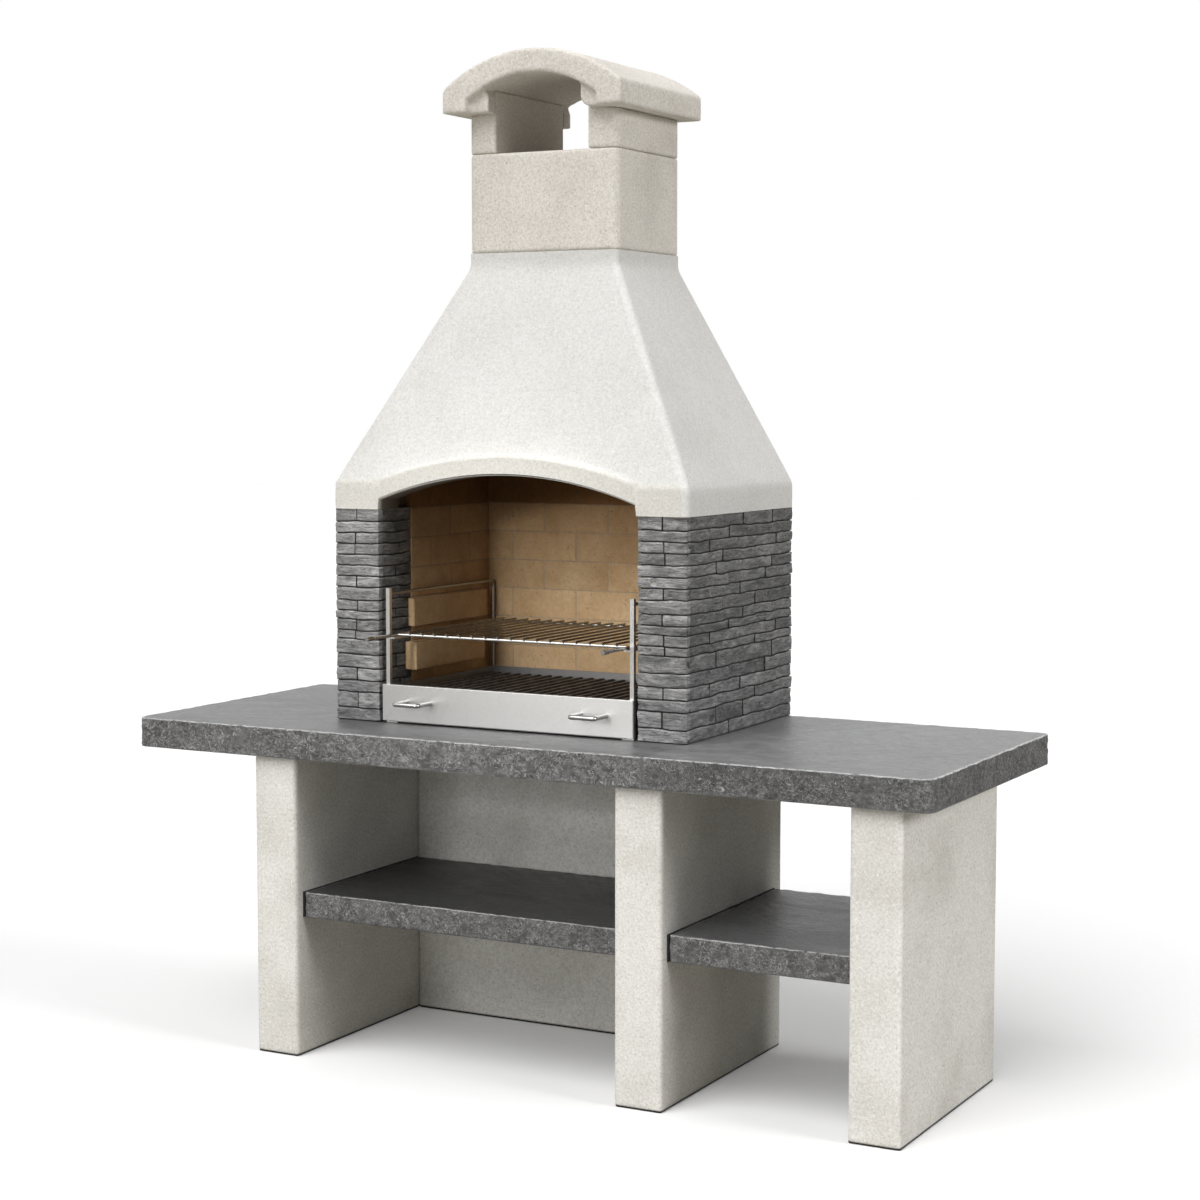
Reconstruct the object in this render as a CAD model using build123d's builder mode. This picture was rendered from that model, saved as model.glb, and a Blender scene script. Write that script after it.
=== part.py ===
from build123d import *

import math
import os

os.makedirs("parts", exist_ok=True)

# A masonry barbecue with a side worktop, in millimetres.
# X runs to the right along the worktop, Y to the back, Z up from the floor.
# The origin lies on the floor, under the middle of the worktop.

# One overrun for every cut that passes through a face.
overrun = 10.0
# The gap that is left between two pieces that touch without being joined.
seat_gap = 0.3

# Worktop slabs
worktop_length = 2040.0
worktop_depth = 785.0
worktop_thickness = 70.0
worktop_corner_radius = 30.0
slab_joint = 1.0
side_slab_bearing = 35.0

# Leg walls and the panel that closes the main bay behind
leg_height = 715.0
leg_thickness = 118.0
main_leg_depth = 640.0
side_leg_depth = 595.0
leg_setback = 25.0
leg_arris_radius = 8.0
left_overhang = 334.0
right_overhang = 73.0
side_bay_width = 435.0
back_panel_thickness = 60.0
back_panel_inset = 48.0

# Shelves, and the ledges cast on the legs that carry them
shelf_height = 392.0
shelf_thickness = 60.0
shelf_setback = 23.0
shelf_end_gap = 3.0
shelf_corner_radius = 10.0
ledge_projection = 25.0
ledge_height = 35.0
ledge_setback = 152.0

# Fire chamber: pillar walls with stone strips round a concrete core
tower_leg_inset = 28.5
tower_width = 938.0
tower_depth = 582.0
tower_height = 507.0
pillar_width = 125.0
stone_thickness = 22.0
stone_joint = 2.0
stone_return_depth = 145.0
rear_wall_thickness = 50.0

# Firebrick lining, with two ledge bricks on each side
lining_thickness = 22.0
brick_joint = 2.0
brick_course_count = 7
hood_course_count = 1
rear_bricks_per_course = 4
side_bricks_per_course = 2
upper_ledge_brick_thickness = 18.0
upper_ledge_brick_length = 342.0
upper_ledge_brick_lead = 17.5
lower_ledge_brick_thickness = 32.0
lower_ledge_brick_length = 320.0
lower_ledge_brick_lead = 31.5
ledge_brick_height = 67.0
upper_ledge_brick_height = 220.0
lower_ledge_brick_height = 116.0

# Hood
hood_overhang = 3.0
hood_band_height = 60.0
hood_height = 604.0
hood_neck_height = 24.0
hood_flare_height = 20.0
hood_flare_steps = 6
hood_corner_radius = 16.0
hood_front_wall = 90.0
arch_jamb_height = 22.0
arch_rise = 63.0
fascia_width = 40.0
fascia_depth = 60.0

# Chimney block and cowl
chimney_width = 400.0
chimney_depth = 330.0
chimney_height = 233.0
chimney_wall = 60.0
chimney_setback = 177.5
chimney_corner_radius = 24.0
cowl_block_width = 77.0
cowl_block_height = 91.0
roof_width = 474.0
roof_depth = 424.0
roof_overhang = 55.0
roof_end_height = 56.0
roof_rise = 83.0
roof_arris_radius = 14.0
vault_crown_height = 84.0
vault_radius = 290.0
vault_half_span = 172.0
lug_depth = 35.0
lug_radius = 25.0
lug_height = 59.0

# Stainless side frames that stand on the hearth
frame_shift = 1.5
frame_clear_width = 643.0
post_width = 10.0
post_top_height = 320.0
frame_rod_diameter = 8.0
frame_rod_drop = 13.0
frame_rod_bend_radius = 14.0
frame_depth = 490.0
grill_rail_width = 14.0
grill_rail_thickness = 4.0
grill_rail_height = 204.0
runner_width = 30.0
runner_thickness = 4.0

# Charcoal tray
tray_panel_width = 672.0
tray_panel_height = 86.0
tray_panel_lift = 6.0
tray_panel_return = 12.0
tray_sheet = 2.0
tray_front_setback = 1.5
tray_pan_width = 632.0
tray_pan_depth = 484.0
tray_lug_projection = 20.0
tray_lug_thickness = 3.0
grate_height = 75.0
post_clearance = 0.5

# Handles of the charcoal tray, with their nuts
handle_rod_diameter = 8.0
handle_span = 67.0
handle_reach = 57.0
handle_bend_radius = 6.0
handle_inset = 101.0
handle_height = 47.0
handle_stud_diameter = 5.0
handle_stud_length = 12.0
handle_nut_width = 10.0
handle_nut_height = 4.0

# Charcoal grate
grate_width = 606.0
grate_depth = 470.0
grate_bar_count = 21
grate_bar_width = 8.0
grate_bar_height = 8.0
grate_cross_bar_height = 6.0
grate_cross_bar_shares = (0.12, 0.5, 0.88)

# Cooking grill
grill_rod_spacing = 624.0
grill_rod_diameter = 8.0
grill_bar_diameter = 7.0
grill_setback = 33.5
grill_depth = 441.0
grill_handle_length = 130.0
grill_wire_diameter = 5.0
grill_wire_count = 17
grill_wire_overhang = 3.0
grill_cap_diameter = 11.0
grill_cap_length = 22.0
grill_cap_overhang = 2.0

# Places worked out from the sizes above
worktop_front = -worktop_depth / 2
worktop_back = worktop_depth / 2
hearth = leg_height + worktop_thickness
leg_front = worktop_front + leg_setback
main_leg_back = leg_front + main_leg_depth
side_leg_back = leg_front + side_leg_depth
left_leg_x = (
    -worktop_length / 2 + left_overhang,
    -worktop_length / 2 + left_overhang + leg_thickness,
)
right_leg_x = (
    worktop_length / 2 - right_overhang - leg_thickness,
    worktop_length / 2 - right_overhang,
)
middle_leg_x = (
    right_leg_x[0] - side_bay_width - leg_thickness,
    right_leg_x[0] - side_bay_width,
)
slab_joint_x = middle_leg_x[1] - side_slab_bearing

tower_offset = middle_leg_x[1] - tower_leg_inset - tower_width / 2
frame_offset = tower_offset - frame_shift
tower_back = worktop_back
tower_front = tower_back - tower_depth
tower_top = hearth + tower_height
opening_half_width = tower_width / 2 - pillar_width
return_back = tower_front + stone_return_depth
core_half_width = opening_half_width + lining_thickness
rear_wall_front = tower_back - rear_wall_thickness
rear_lining_front = rear_wall_front - lining_thickness

hood_top = tower_top + hood_height
chimney_top = hood_top + chimney_height
chimney_front = tower_front + chimney_setback
chimney_back = chimney_front + chimney_depth
block_top = chimney_top + cowl_block_height

frame_front = tower_front + tray_front_setback + tray_panel_return + post_clearance
frame_back = frame_front + frame_depth
grate_top = hearth + grate_height
grill_front = tower_front + grill_setback


def block(x, y, z, mode=Mode.ADD):
    """Put a block between three pairs of limits into the part that is open."""
    centre = tuple((low + high) / 2 for low, high in (x, y, z))
    with Locations(centre):
        Box(x[1] - x[0], y[1] - y[0], z[1] - z[0], mode=mode)


def rod(start, end, diameter):
    """Put a straight round rod between two points into the part that is open."""
    axis = Vector(*end) - Vector(*start)
    with Locations(Plane(origin=start, z_dir=axis)):
        Cylinder(diameter / 2, axis.length, align=(Align.CENTER, Align.CENTER, Align.MIN))


def mirrored(side, near, far, centre):
    """Limits in X of a piece on the left or right, given its distances from the centre."""
    if side == "left":
        return centre - far, centre - near
    return centre + near, centre + far


# Leg walls: rounded upright slabs, with the ledges under the shelves cast on.
shelf_bottom = shelf_height - shelf_thickness
panel_back = main_leg_back - back_panel_inset
panel_front = panel_back - back_panel_thickness
ledge_y = (leg_front + shelf_setback + ledge_setback, panel_front)
ledge_z = (shelf_bottom - ledge_height, shelf_bottom)
leg_places = {"left": left_leg_x, "middle": middle_leg_x, "right": right_leg_x}
for name, (near, far) in leg_places.items():
    with BuildPart() as leg:
        back = side_leg_back if name == "right" else main_leg_back
        block((near, far), (leg_front, back), (0, leg_height))
        fillet(leg.edges().filter_by(Axis.Z), leg_arris_radius)
        if name != "left":
            block((near - ledge_projection, near), ledge_y, ledge_z)
        if name != "right":
            block((far, far + ledge_projection), ledge_y, ledge_z)
    leg.part.label = f"{name}_leg"
    export_step(leg.part, f"parts/{name}_leg.step")

# Panel that closes the main bay behind, between the two legs.
with BuildPart() as back_panel:
    block(
        (left_leg_x[1], middle_leg_x[0]),
        (panel_front, panel_back),
        (0, leg_height),
    )
back_panel.part.label = "back_panel"
export_step(back_panel.part, "parts/back_panel.step")

# Shelves: slabs that lie on the ledges, with a dark gap at each end.
shelf_front = leg_front + shelf_setback
shelf_places = {
    "main": (left_leg_x[1], middle_leg_x[0], panel_front - shelf_end_gap),
    "side": (middle_leg_x[1], right_leg_x[0], side_leg_back),
}
for name, (near, far, back) in shelf_places.items():
    with BuildPart() as shelf:
        block(
            (near + shelf_end_gap, far - shelf_end_gap),
            (shelf_front, back),
            (shelf_bottom, shelf_height),
        )
        fillet(shelf.edges().filter_by(Axis.Z), shelf_corner_radius)
    shelf.part.label = f"{name}_shelf"
    export_step(shelf.part, f"parts/{name}_shelf.step")

# Worktop: two slabs that meet over the middle leg, rounded at the outer corners.
slab_places = {
    "main": (-worktop_length / 2, slab_joint_x - slab_joint / 2),
    "side": (slab_joint_x + slab_joint / 2, worktop_length / 2),
}
for name, (near, far) in slab_places.items():
    with BuildPart() as slab:
        block((near, far), (worktop_front, worktop_back), (leg_height, hearth))
        uprights = slab.edges().filter_by(Axis.Z).group_by(Axis.X)
        fillet(uprights[0] if name == "main" else uprights[-1], worktop_corner_radius)
    slab.part.label = f"{name}_worktop"
    export_step(slab.part, f"parts/{name}_worktop.step")

# Side walls of the fire chamber: the concrete cores behind stone and firebrick.
outer_half_width = tower_width / 2 - stone_thickness
for side in ("left", "right"):
    with BuildPart() as core:
        block(
            mirrored(side, opening_half_width + stone_thickness, outer_half_width, tower_offset),
            (tower_front + stone_thickness, return_back),
            (hearth, tower_top),
        )
        block(
            mirrored(side, core_half_width, outer_half_width, tower_offset),
            (return_back, tower_back),
            (hearth, tower_top),
        )
    core.part.label = f"{side}_side_wall"
    export_step(core.part, f"parts/{side}_side_wall.step")

# Rear wall of the fire chamber, between the two cores.
with BuildPart() as rear_wall:
    block(
        (tower_offset - core_half_width, tower_offset + core_half_width),
        (rear_wall_front, tower_back),
        (hearth, tower_top),
    )
rear_wall.part.label = "rear_wall"
export_step(rear_wall.part, "parts/rear_wall.step")

# Split-stone strips: courses of uneven height round the front, the outer side
# and the inner return of each pillar. The shares give the height of each course
# from the top down, where the strips of a run are parted, and how far a strip
# lies back from the face of the pillar.
course_height_shares = (53, 45, 44, 45, 45, 44, 44, 53, 42, 35, 45, 35, 65, 55, 50, 45, 65, 53)
front_joint_shares = ((0.5,), (), (0.53,), (0.55,), (), (), (0.52,), ())
side_joint_shares = ((0.24, 0.5, 0.79), (0.36, 0.72), (0.18, 0.47, 0.83), (0.3, 0.62))
return_joint_shares = ((), (0.45,), (), (0.6,))
strip_recess_shares = (0.0, 0.14, 0.05, 0.18, 0.09, 0.0, 0.16, 0.04, 0.12)


def parted(start, end, shares):
    """Cut a run at its shares, and give the limits of each strip between the joints."""
    cuts = [start] + [start + (end - start) * share for share in shares] + [end]
    last = len(cuts) - 2
    gap = math.copysign(stone_joint / 2, end - start)
    return [
        (cuts[i] + (gap if i > 0 else 0), cuts[i + 1] - (gap if i < last else 0))
        for i in range(last + 1)
    ]


for side in ("left", "right"):
    sign = -1 if side == "left" else 1
    with BuildPart() as strips:
        top = tower_top
        count = 0
        for course, height_share in enumerate(course_height_shares):
            height = tower_height * height_share / sum(course_height_shares)
            bottom = top - height
            lift = stone_joint if course < len(course_height_shares) - 1 else 0
            rectangles = []
            front_inner = tower_front + stone_thickness
            for x in parted(
                opening_half_width,
                tower_width / 2,
                front_joint_shares[course % len(front_joint_shares)],
            ):
                recess = stone_thickness * strip_recess_shares[count % len(strip_recess_shares)]
                rectangles.append((x, (tower_front + recess, front_inner)))
                count += 1
            for y in parted(
                front_inner + seat_gap,
                tower_back,
                side_joint_shares[course % len(side_joint_shares)],
            ):
                recess = stone_thickness * strip_recess_shares[count % len(strip_recess_shares)]
                rectangles.append(((outer_half_width, tower_width / 2 - recess), y))
                count += 1
            for y in parted(
                front_inner + seat_gap,
                return_back,
                return_joint_shares[course % len(return_joint_shares)],
            ):
                recess = stone_thickness * strip_recess_shares[count % len(strip_recess_shares)]
                face = opening_half_width
                rectangles.append(((face + recess, face + stone_thickness), y))
                count += 1
            with BuildSketch(Plane.XY.offset(bottom + lift)):
                for x, y in rectangles:
                    centre = (tower_offset + sign * (x[0] + x[1]) / 2, (y[0] + y[1]) / 2)
                    with Locations(centre):
                        Rectangle(x[1] - x[0], y[1] - y[0])
            extrude(amount=height - lift)
            top = bottom
    strips.part.label = f"{side}_stone_strips"
    export_step(strips.part, f"parts/{side}_stone_strips.step")

# Firebrick lining: courses in running bond, the top one inside the hood.
course_height = tower_height / brick_course_count
lining_course_count = brick_course_count + hood_course_count
lining_top = hearth + course_height * lining_course_count


def bonded(start, end, per_course, course):
    """Limits of the bricks in one course, where every other course is cut half way."""
    length = (end - start) / per_course
    cuts = [start + length * i for i in range(per_course + 1)]
    if course % 2:
        cuts = [start] + [start + length * (i + 1 / 2) for i in range(per_course)] + [end]
    return [
        (a + (brick_joint / 2 if a > start else 0), b - (brick_joint / 2 if b < end else 0))
        for a, b in zip(cuts, cuts[1:])
    ]


with BuildPart() as rear_lining:
    for course in range(lining_course_count):
        with BuildSketch(Plane.XY.offset(hearth + course_height * course)):
            for near, far in bonded(
                tower_offset - core_half_width,
                tower_offset + core_half_width,
                rear_bricks_per_course,
                course,
            ):
                with Locations(((near + far) / 2, rear_wall_front - lining_thickness / 2)):
                    Rectangle(far - near, lining_thickness)
        extrude(amount=course_height - brick_joint)
rear_lining.part.label = "rear_lining"
export_step(rear_lining.part, "parts/rear_lining.step")

for side in ("left", "right"):
    near_x, far_x = mirrored(side, opening_half_width, core_half_width, tower_offset)
    with BuildPart() as lining:
        for course in range(lining_course_count):
            with BuildSketch(Plane.XY.offset(hearth + course_height * course)):
                for near, far in bonded(
                    return_back, rear_lining_front, side_bricks_per_course, course
                ):
                    with Locations(((near_x + far_x) / 2, (near + far) / 2)):
                        Rectangle(lining_thickness, far - near)
            extrude(amount=course_height - brick_joint)
    lining.part.label = f"{side}_lining"
    export_step(lining.part, f"parts/{side}_lining.step")

# Ledge bricks: two on each side, with the slot of the cooking grill between them.
for side in ("left", "right"):
    for level, thickness, length, lead, height in (
        (
            "upper",
            upper_ledge_brick_thickness,
            upper_ledge_brick_length,
            upper_ledge_brick_lead,
            upper_ledge_brick_height,
        ),
        (
            "lower",
            lower_ledge_brick_thickness,
            lower_ledge_brick_length,
            lower_ledge_brick_lead,
            lower_ledge_brick_height,
        ),
    ):
        with BuildPart() as ledge_brick:
            block(
                mirrored(
                    side, opening_half_width - thickness, opening_half_width, tower_offset
                ),
                (return_back - lead, return_back - lead + length),
                (hearth + height, hearth + height + ledge_brick_height),
            )
        ledge_brick.part.label = f"{side}_{level}_ledge_brick"
        export_step(ledge_brick.part, f"parts/{side}_{level}_ledge_brick.step")

# Hood: an upright band, sloping sides that flare into the neck, a hollow inside,
# and an arched mouth with a flat fascia that stands out from the slope.
hood_front = tower_front - hood_overhang
hood_back = tower_back
hood_half_width = tower_width / 2 + hood_overhang
band_top = tower_top + hood_band_height
flare_top = hood_top - hood_neck_height
flare_bottom = flare_top - hood_flare_height
slope_run = flare_bottom - band_top + hood_flare_height / 2


def slope_share(height):
    """Share of the way in from the band to the neck, straight and then slowing down."""
    if height <= flare_bottom:
        return max(height - band_top, 0) / slope_run
    rise = height - flare_bottom
    return (height - band_top - rise * rise / (2 * hood_flare_height)) / slope_run


hood_levels = [tower_top, band_top]
for step in range(hood_flare_steps + 1):
    hood_levels.append(flare_bottom + hood_flare_height * step / hood_flare_steps)
hood_levels.append(hood_top)

arch_half_width = opening_half_width
arch_radius = (arch_half_width**2 + arch_rise**2) / (2 * arch_rise)
arch_spring = tower_top + arch_jamb_height
arch_crown = arch_spring + arch_rise
arch_centre_z = arch_crown - arch_radius
fascia_radius = arch_radius + fascia_width
fascia_half_width = math.sqrt(fascia_radius**2 - (band_top - arch_centre_z) ** 2)

with BuildPart() as hood:
    for level in hood_levels:
        share = slope_share(min(level, flare_top))
        half_width = hood_half_width + (chimney_width / 2 - hood_half_width) * share
        front = hood_front + (chimney_front - hood_front) * share
        back = hood_back + (chimney_back - hood_back) * share
        with BuildSketch(Plane.XY.offset(level)):
            with Locations((tower_offset, (front + back) / 2)):
                RectangleRounded(2 * half_width, back - front, hood_corner_radius)
    loft(ruled=True)
    with BuildSketch(Plane.XZ.offset(-hood_front)):
        with BuildLine():
            ThreePointArc(
                (tower_offset - fascia_half_width, band_top),
                (tower_offset, arch_crown + fascia_width),
                (tower_offset + fascia_half_width, band_top),
            )
            Line(
                (tower_offset + fascia_half_width, band_top),
                (tower_offset - fascia_half_width, band_top),
            )
        make_face()
    extrude(amount=-fascia_depth)
    cavity_y = (hood_front + hood_front_wall, rear_wall_front)
    block(
        (tower_offset - core_half_width, tower_offset + core_half_width),
        cavity_y,
        (tower_top - overrun, lining_top),
        mode=Mode.SUBTRACT,
    )
    with BuildSketch(Plane.XY.offset(lining_top)):
        with Locations((tower_offset, (cavity_y[0] + cavity_y[1]) / 2)):
            Rectangle(2 * core_half_width, cavity_y[1] - cavity_y[0])
    with BuildSketch(Plane.XY.offset(hood_top)):
        with Locations((tower_offset, (chimney_front + chimney_back) / 2)):
            Rectangle(chimney_width - 2 * chimney_wall, chimney_depth - 2 * chimney_wall)
    loft(ruled=True, mode=Mode.SUBTRACT)
    with BuildSketch(Plane.XZ.offset(-hood_front + overrun)):
        with BuildLine():
            Polyline(
                (tower_offset - arch_half_width, arch_spring),
                (tower_offset - arch_half_width, tower_top - overrun),
                (tower_offset + arch_half_width, tower_top - overrun),
                (tower_offset + arch_half_width, arch_spring),
            )
            ThreePointArc(
                (tower_offset - arch_half_width, arch_spring),
                (tower_offset, arch_crown),
                (tower_offset + arch_half_width, arch_spring),
            )
        make_face()
    extrude(amount=-(hood_front_wall + 2 * overrun), mode=Mode.SUBTRACT)
hood.part.label = "hood"
export_step(hood.part, "parts/hood.step")

# Chimney block: a rounded block with the flue through it.
chimney_y = (chimney_front, chimney_back)
with BuildPart() as chimney_block:
    block(
        (tower_offset - chimney_width / 2, tower_offset + chimney_width / 2),
        chimney_y,
        (hood_top, chimney_top),
    )
    fillet(chimney_block.edges().filter_by(Axis.Z), chimney_corner_radius)
    block(
        (
            tower_offset - chimney_width / 2 + chimney_wall,
            tower_offset + chimney_width / 2 - chimney_wall,
        ),
        (chimney_front + chimney_wall, chimney_back - chimney_wall),
        (hood_top - overrun, chimney_top + overrun),
        mode=Mode.SUBTRACT,
    )
chimney_block.part.label = "chimney_block"
export_step(chimney_block.part, "parts/chimney_block.step")

# Cowl: two side blocks whose tops follow the vault of the roof.
vault_crown = block_top + vault_crown_height
vault_centre_z = vault_crown - vault_radius


def vault_height(distance, gap=0):
    """Height of the vault's underside at a distance from the middle, less a gap."""
    return vault_centre_z + math.sqrt((vault_radius - gap) ** 2 - distance**2)


block_outer = chimney_width / 2
block_inner = block_outer - cowl_block_width
block_step = vault_half_span - seat_gap
block_middle = (block_step + block_inner) / 2
for side in ("left", "right"):
    sign = -1 if side == "left" else 1
    with BuildPart() as cowl_block:
        with BuildSketch(Plane.XZ.offset(-chimney_front)):
            with BuildLine():
                Polyline(
                    (tower_offset + sign * block_step, vault_height(block_step, seat_gap)),
                    (tower_offset + sign * block_step, block_top),
                    (tower_offset + sign * block_outer, block_top),
                    (tower_offset + sign * block_outer, chimney_top),
                    (tower_offset + sign * block_inner, chimney_top),
                    (tower_offset + sign * block_inner, vault_height(block_inner, seat_gap)),
                )
                ThreePointArc(
                    (tower_offset + sign * block_step, vault_height(block_step, seat_gap)),
                    (tower_offset + sign * block_middle, vault_height(block_middle, seat_gap)),
                    (tower_offset + sign * block_inner, vault_height(block_inner, seat_gap)),
                )
            make_face()
        extrude(amount=-chimney_depth)
        uprights = cowl_block.edges().filter_by(Axis.Z).group_by(Axis.X)
        fillet(uprights[0] if side == "left" else uprights[-1], chimney_corner_radius)
    cowl_block.part.label = f"{side}_cowl_block"
    export_step(cowl_block.part, f"parts/{side}_cowl_block.step")

# Cowl roof: a vault on upright ends, with four lugs that lock on the blocks.
roof_front = chimney_front - roof_overhang
roof_end_top = block_top + roof_end_height
with BuildPart() as cowl_roof:
    with BuildSketch(Plane.XZ.offset(-roof_front)):
        with BuildLine():
            Polyline(
                (tower_offset - vault_half_span, vault_height(vault_half_span)),
                (tower_offset - vault_half_span, block_top),
                (tower_offset - roof_width / 2, block_top),
                (tower_offset - roof_width / 2, roof_end_top),
            )
            ThreePointArc(
                (tower_offset - roof_width / 2, roof_end_top),
                (tower_offset, roof_end_top + roof_rise),
                (tower_offset + roof_width / 2, roof_end_top),
            )
            Polyline(
                (tower_offset + roof_width / 2, roof_end_top),
                (tower_offset + roof_width / 2, block_top),
                (tower_offset + vault_half_span, block_top),
                (tower_offset + vault_half_span, vault_height(vault_half_span)),
            )
            ThreePointArc(
                (tower_offset + vault_half_span, vault_height(vault_half_span)),
                (tower_offset, vault_crown),
                (tower_offset - vault_half_span, vault_height(vault_half_span)),
            )
        make_face()
    extrude(amount=-roof_depth)
    shoulders = cowl_roof.edges().filter_by(Axis.Y).filter_by_position(
        Axis.Z, roof_end_top - seat_gap, roof_end_top + seat_gap
    )
    fillet(shoulders, roof_arris_radius)
    for sign in (-1, 1):
        for lug_front in (chimney_front - seat_gap - lug_depth, chimney_back + seat_gap):
            with BuildSketch(Plane.XZ.offset(-lug_front)):
                with Locations(
                    (
                        tower_offset + sign * (block_outer + block_inner) / 2,
                        block_top + lug_height / 2,
                    )
                ):
                    lug = Rectangle(cowl_block_width, lug_height)
                inner = lug.vertices().group_by(Axis.Z)[0].sort_by(Axis.X)
                fillet(inner[-1] if sign < 0 else inner[0], lug_radius)
            extrude(amount=-lug_depth)
cowl_roof.part.label = "cowl_roof"
export_step(cowl_roof.part, "parts/cowl_roof.step")

# Side frames: a square post in front, a rod bent down behind, a rail for the
# cooking grill and a runner on the hearth under the charcoal tray.
post_inner = frame_clear_width / 2
post_z = (hearth + runner_thickness, hearth + post_top_height)
rod_distance = post_inner + frame_rod_diameter / 2
rod_height = hearth + post_top_height - frame_rod_drop
rod_back = frame_back - frame_rod_diameter / 2
for side in ("left", "right"):
    sign = -1 if side == "left" else 1
    with BuildPart() as post:
        block(
            mirrored(side, post_inner, post_inner + post_width, frame_offset),
            (frame_front, frame_front + post_width),
            post_z,
        )
    post.part.label = f"{side}_front_post"
    export_step(post.part, f"parts/{side}_front_post.step")

    rod_x = frame_offset + sign * rod_distance
    with BuildPart() as frame_rod:
        with BuildLine():
            FilletPolyline(
                (rod_x, frame_front + post_width, rod_height),
                (rod_x, rod_back, rod_height),
                (rod_x, rod_back, hearth + runner_thickness),
                radius=frame_rod_bend_radius,
            )
        with BuildSketch(
            Plane(origin=(rod_x, frame_front + post_width, rod_height), z_dir=(0, 1, 0))
        ):
            Circle(frame_rod_diameter / 2)
        sweep()
    frame_rod.part.label = f"{side}_frame_rod"
    export_step(frame_rod.part, f"parts/{side}_frame_rod.step")

    with BuildPart() as grill_rail:
        block(
            mirrored(side, post_inner - grill_rail_width, post_inner, frame_offset),
            (frame_front, frame_back),
            (hearth + grill_rail_height - grill_rail_thickness, hearth + grill_rail_height),
        )
    grill_rail.part.label = f"{side}_grill_rail"
    export_step(grill_rail.part, f"parts/{side}_grill_rail.step")

    with BuildPart() as runner:
        runner_far = post_inner + post_width
        block(
            mirrored(side, runner_far - runner_width, runner_far, frame_offset),
            (frame_front, frame_back),
            (hearth, hearth + runner_thickness),
        )
    runner.part.label = f"{side}_tray_runner"
    export_step(runner.part, f"parts/{side}_tray_runner.step")

# Cross bar that ties the two runners together behind.
with BuildPart() as cross_bar:
    bar_half = post_inner + post_width - runner_width
    block(
        (frame_offset - bar_half, frame_offset + bar_half),
        (frame_back - runner_width, frame_back),
        (hearth, hearth + runner_thickness),
    )
cross_bar.part.label = "frame_cross_bar"
export_step(cross_bar.part, "parts/frame_cross_bar.step")

# Charcoal tray: a folded front panel, an open pan behind it, and lugs in the pan.
panel_front_y = tower_front + tray_front_setback
panel_x = (frame_offset - tray_panel_width / 2, frame_offset + tray_panel_width / 2)
panel_z = (hearth + tray_panel_lift, hearth + tray_panel_lift + tray_panel_height)
handle_z = hearth + tray_panel_lift + handle_height
handle_centres = (panel_x[0] + handle_inset, panel_x[1] - handle_inset)
stud_places = [
    centre + sign * handle_span / 2 for centre in handle_centres for sign in (-1, 1)
]
with BuildPart() as tray_panel:
    block(panel_x, (panel_front_y, panel_front_y + tray_panel_return), panel_z)
    block(
        (panel_x[0] + tray_sheet, panel_x[1] - tray_sheet),
        (panel_front_y + tray_sheet, panel_front_y + tray_panel_return + overrun),
        (panel_z[0] - overrun, panel_z[1] - tray_sheet),
        mode=Mode.SUBTRACT,
    )
    with BuildSketch(Plane.XZ.offset(-panel_front_y + overrun)):
        with Locations([(x, handle_z) for x in stud_places]):
            Circle(handle_stud_diameter / 2 + seat_gap)
    extrude(amount=-(tray_sheet + 2 * overrun), mode=Mode.SUBTRACT)
tray_panel.part.label = "tray_front_panel"
export_step(tray_panel.part, "parts/tray_front_panel.step")

pan_x = (frame_offset - tray_pan_width / 2, frame_offset + tray_pan_width / 2)
pan_y = (panel_front_y + tray_sheet, panel_front_y + tray_sheet + tray_pan_depth)
pan_z = (hearth + runner_thickness + seat_gap, panel_z[1] - tray_sheet - seat_gap)
with BuildPart() as tray_pan:
    block(pan_x, (pan_y[0], pan_y[1]), (pan_z[0], pan_z[1]))
    block(
        (pan_x[0] + tray_sheet, pan_x[1] - tray_sheet),
        (pan_y[0] + tray_sheet, pan_y[1] - tray_sheet),
        (pan_z[0] + tray_sheet, pan_z[1] + overrun),
        mode=Mode.SUBTRACT,
    )
    with BuildSketch(Plane.XZ.offset(-pan_y[0] + overrun)):
        with Locations([(x, handle_z) for x in stud_places]):
            Circle(handle_stud_diameter / 2 + seat_gap)
    extrude(amount=-(tray_sheet + 2 * overrun), mode=Mode.SUBTRACT)
tray_pan.part.label = "tray_pan"
export_step(tray_pan.part, "parts/tray_pan.step")

grate_underside = grate_top - grate_bar_height - grate_cross_bar_height
with BuildPart() as tray_lugs:
    for side in ("left", "right"):
        pan_inner = tray_pan_width / 2 - tray_sheet
        block(
            mirrored(side, pan_inner - tray_lug_projection, pan_inner, frame_offset),
            (pan_y[0] + tray_sheet, pan_y[1] - tray_sheet),
            (
                grate_underside - seat_gap - tray_lug_thickness,
                grate_underside - seat_gap,
            ),
        )
tray_lugs.part.label = "tray_lugs"
export_step(tray_lugs.part, "parts/tray_lugs.step")

# Tray handles: round rod bent into a flat bow, with threaded ends and nuts.
bow_y = panel_front_y - handle_reach
for side, centre in zip(("left", "right"), handle_centres):
    ends = (centre - handle_span / 2, centre + handle_span / 2)
    with BuildPart() as handle:
        with BuildLine():
            FilletPolyline(
                (ends[0], panel_front_y, handle_z),
                (ends[0], bow_y, handle_z),
                (ends[1], bow_y, handle_z),
                (ends[1], panel_front_y, handle_z),
                radius=handle_bend_radius,
            )
        with BuildSketch(Plane(origin=(ends[0], panel_front_y, handle_z), z_dir=(0, -1, 0))):
            Circle(handle_rod_diameter / 2)
        sweep()
        for x in ends:
            rod(
                (x, panel_front_y, handle_z),
                (x, panel_front_y + handle_stud_length, handle_z),
                handle_stud_diameter,
            )
    handle.part.label = f"{side}_tray_handle"
    export_step(handle.part, f"parts/{side}_tray_handle.step")

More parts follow.
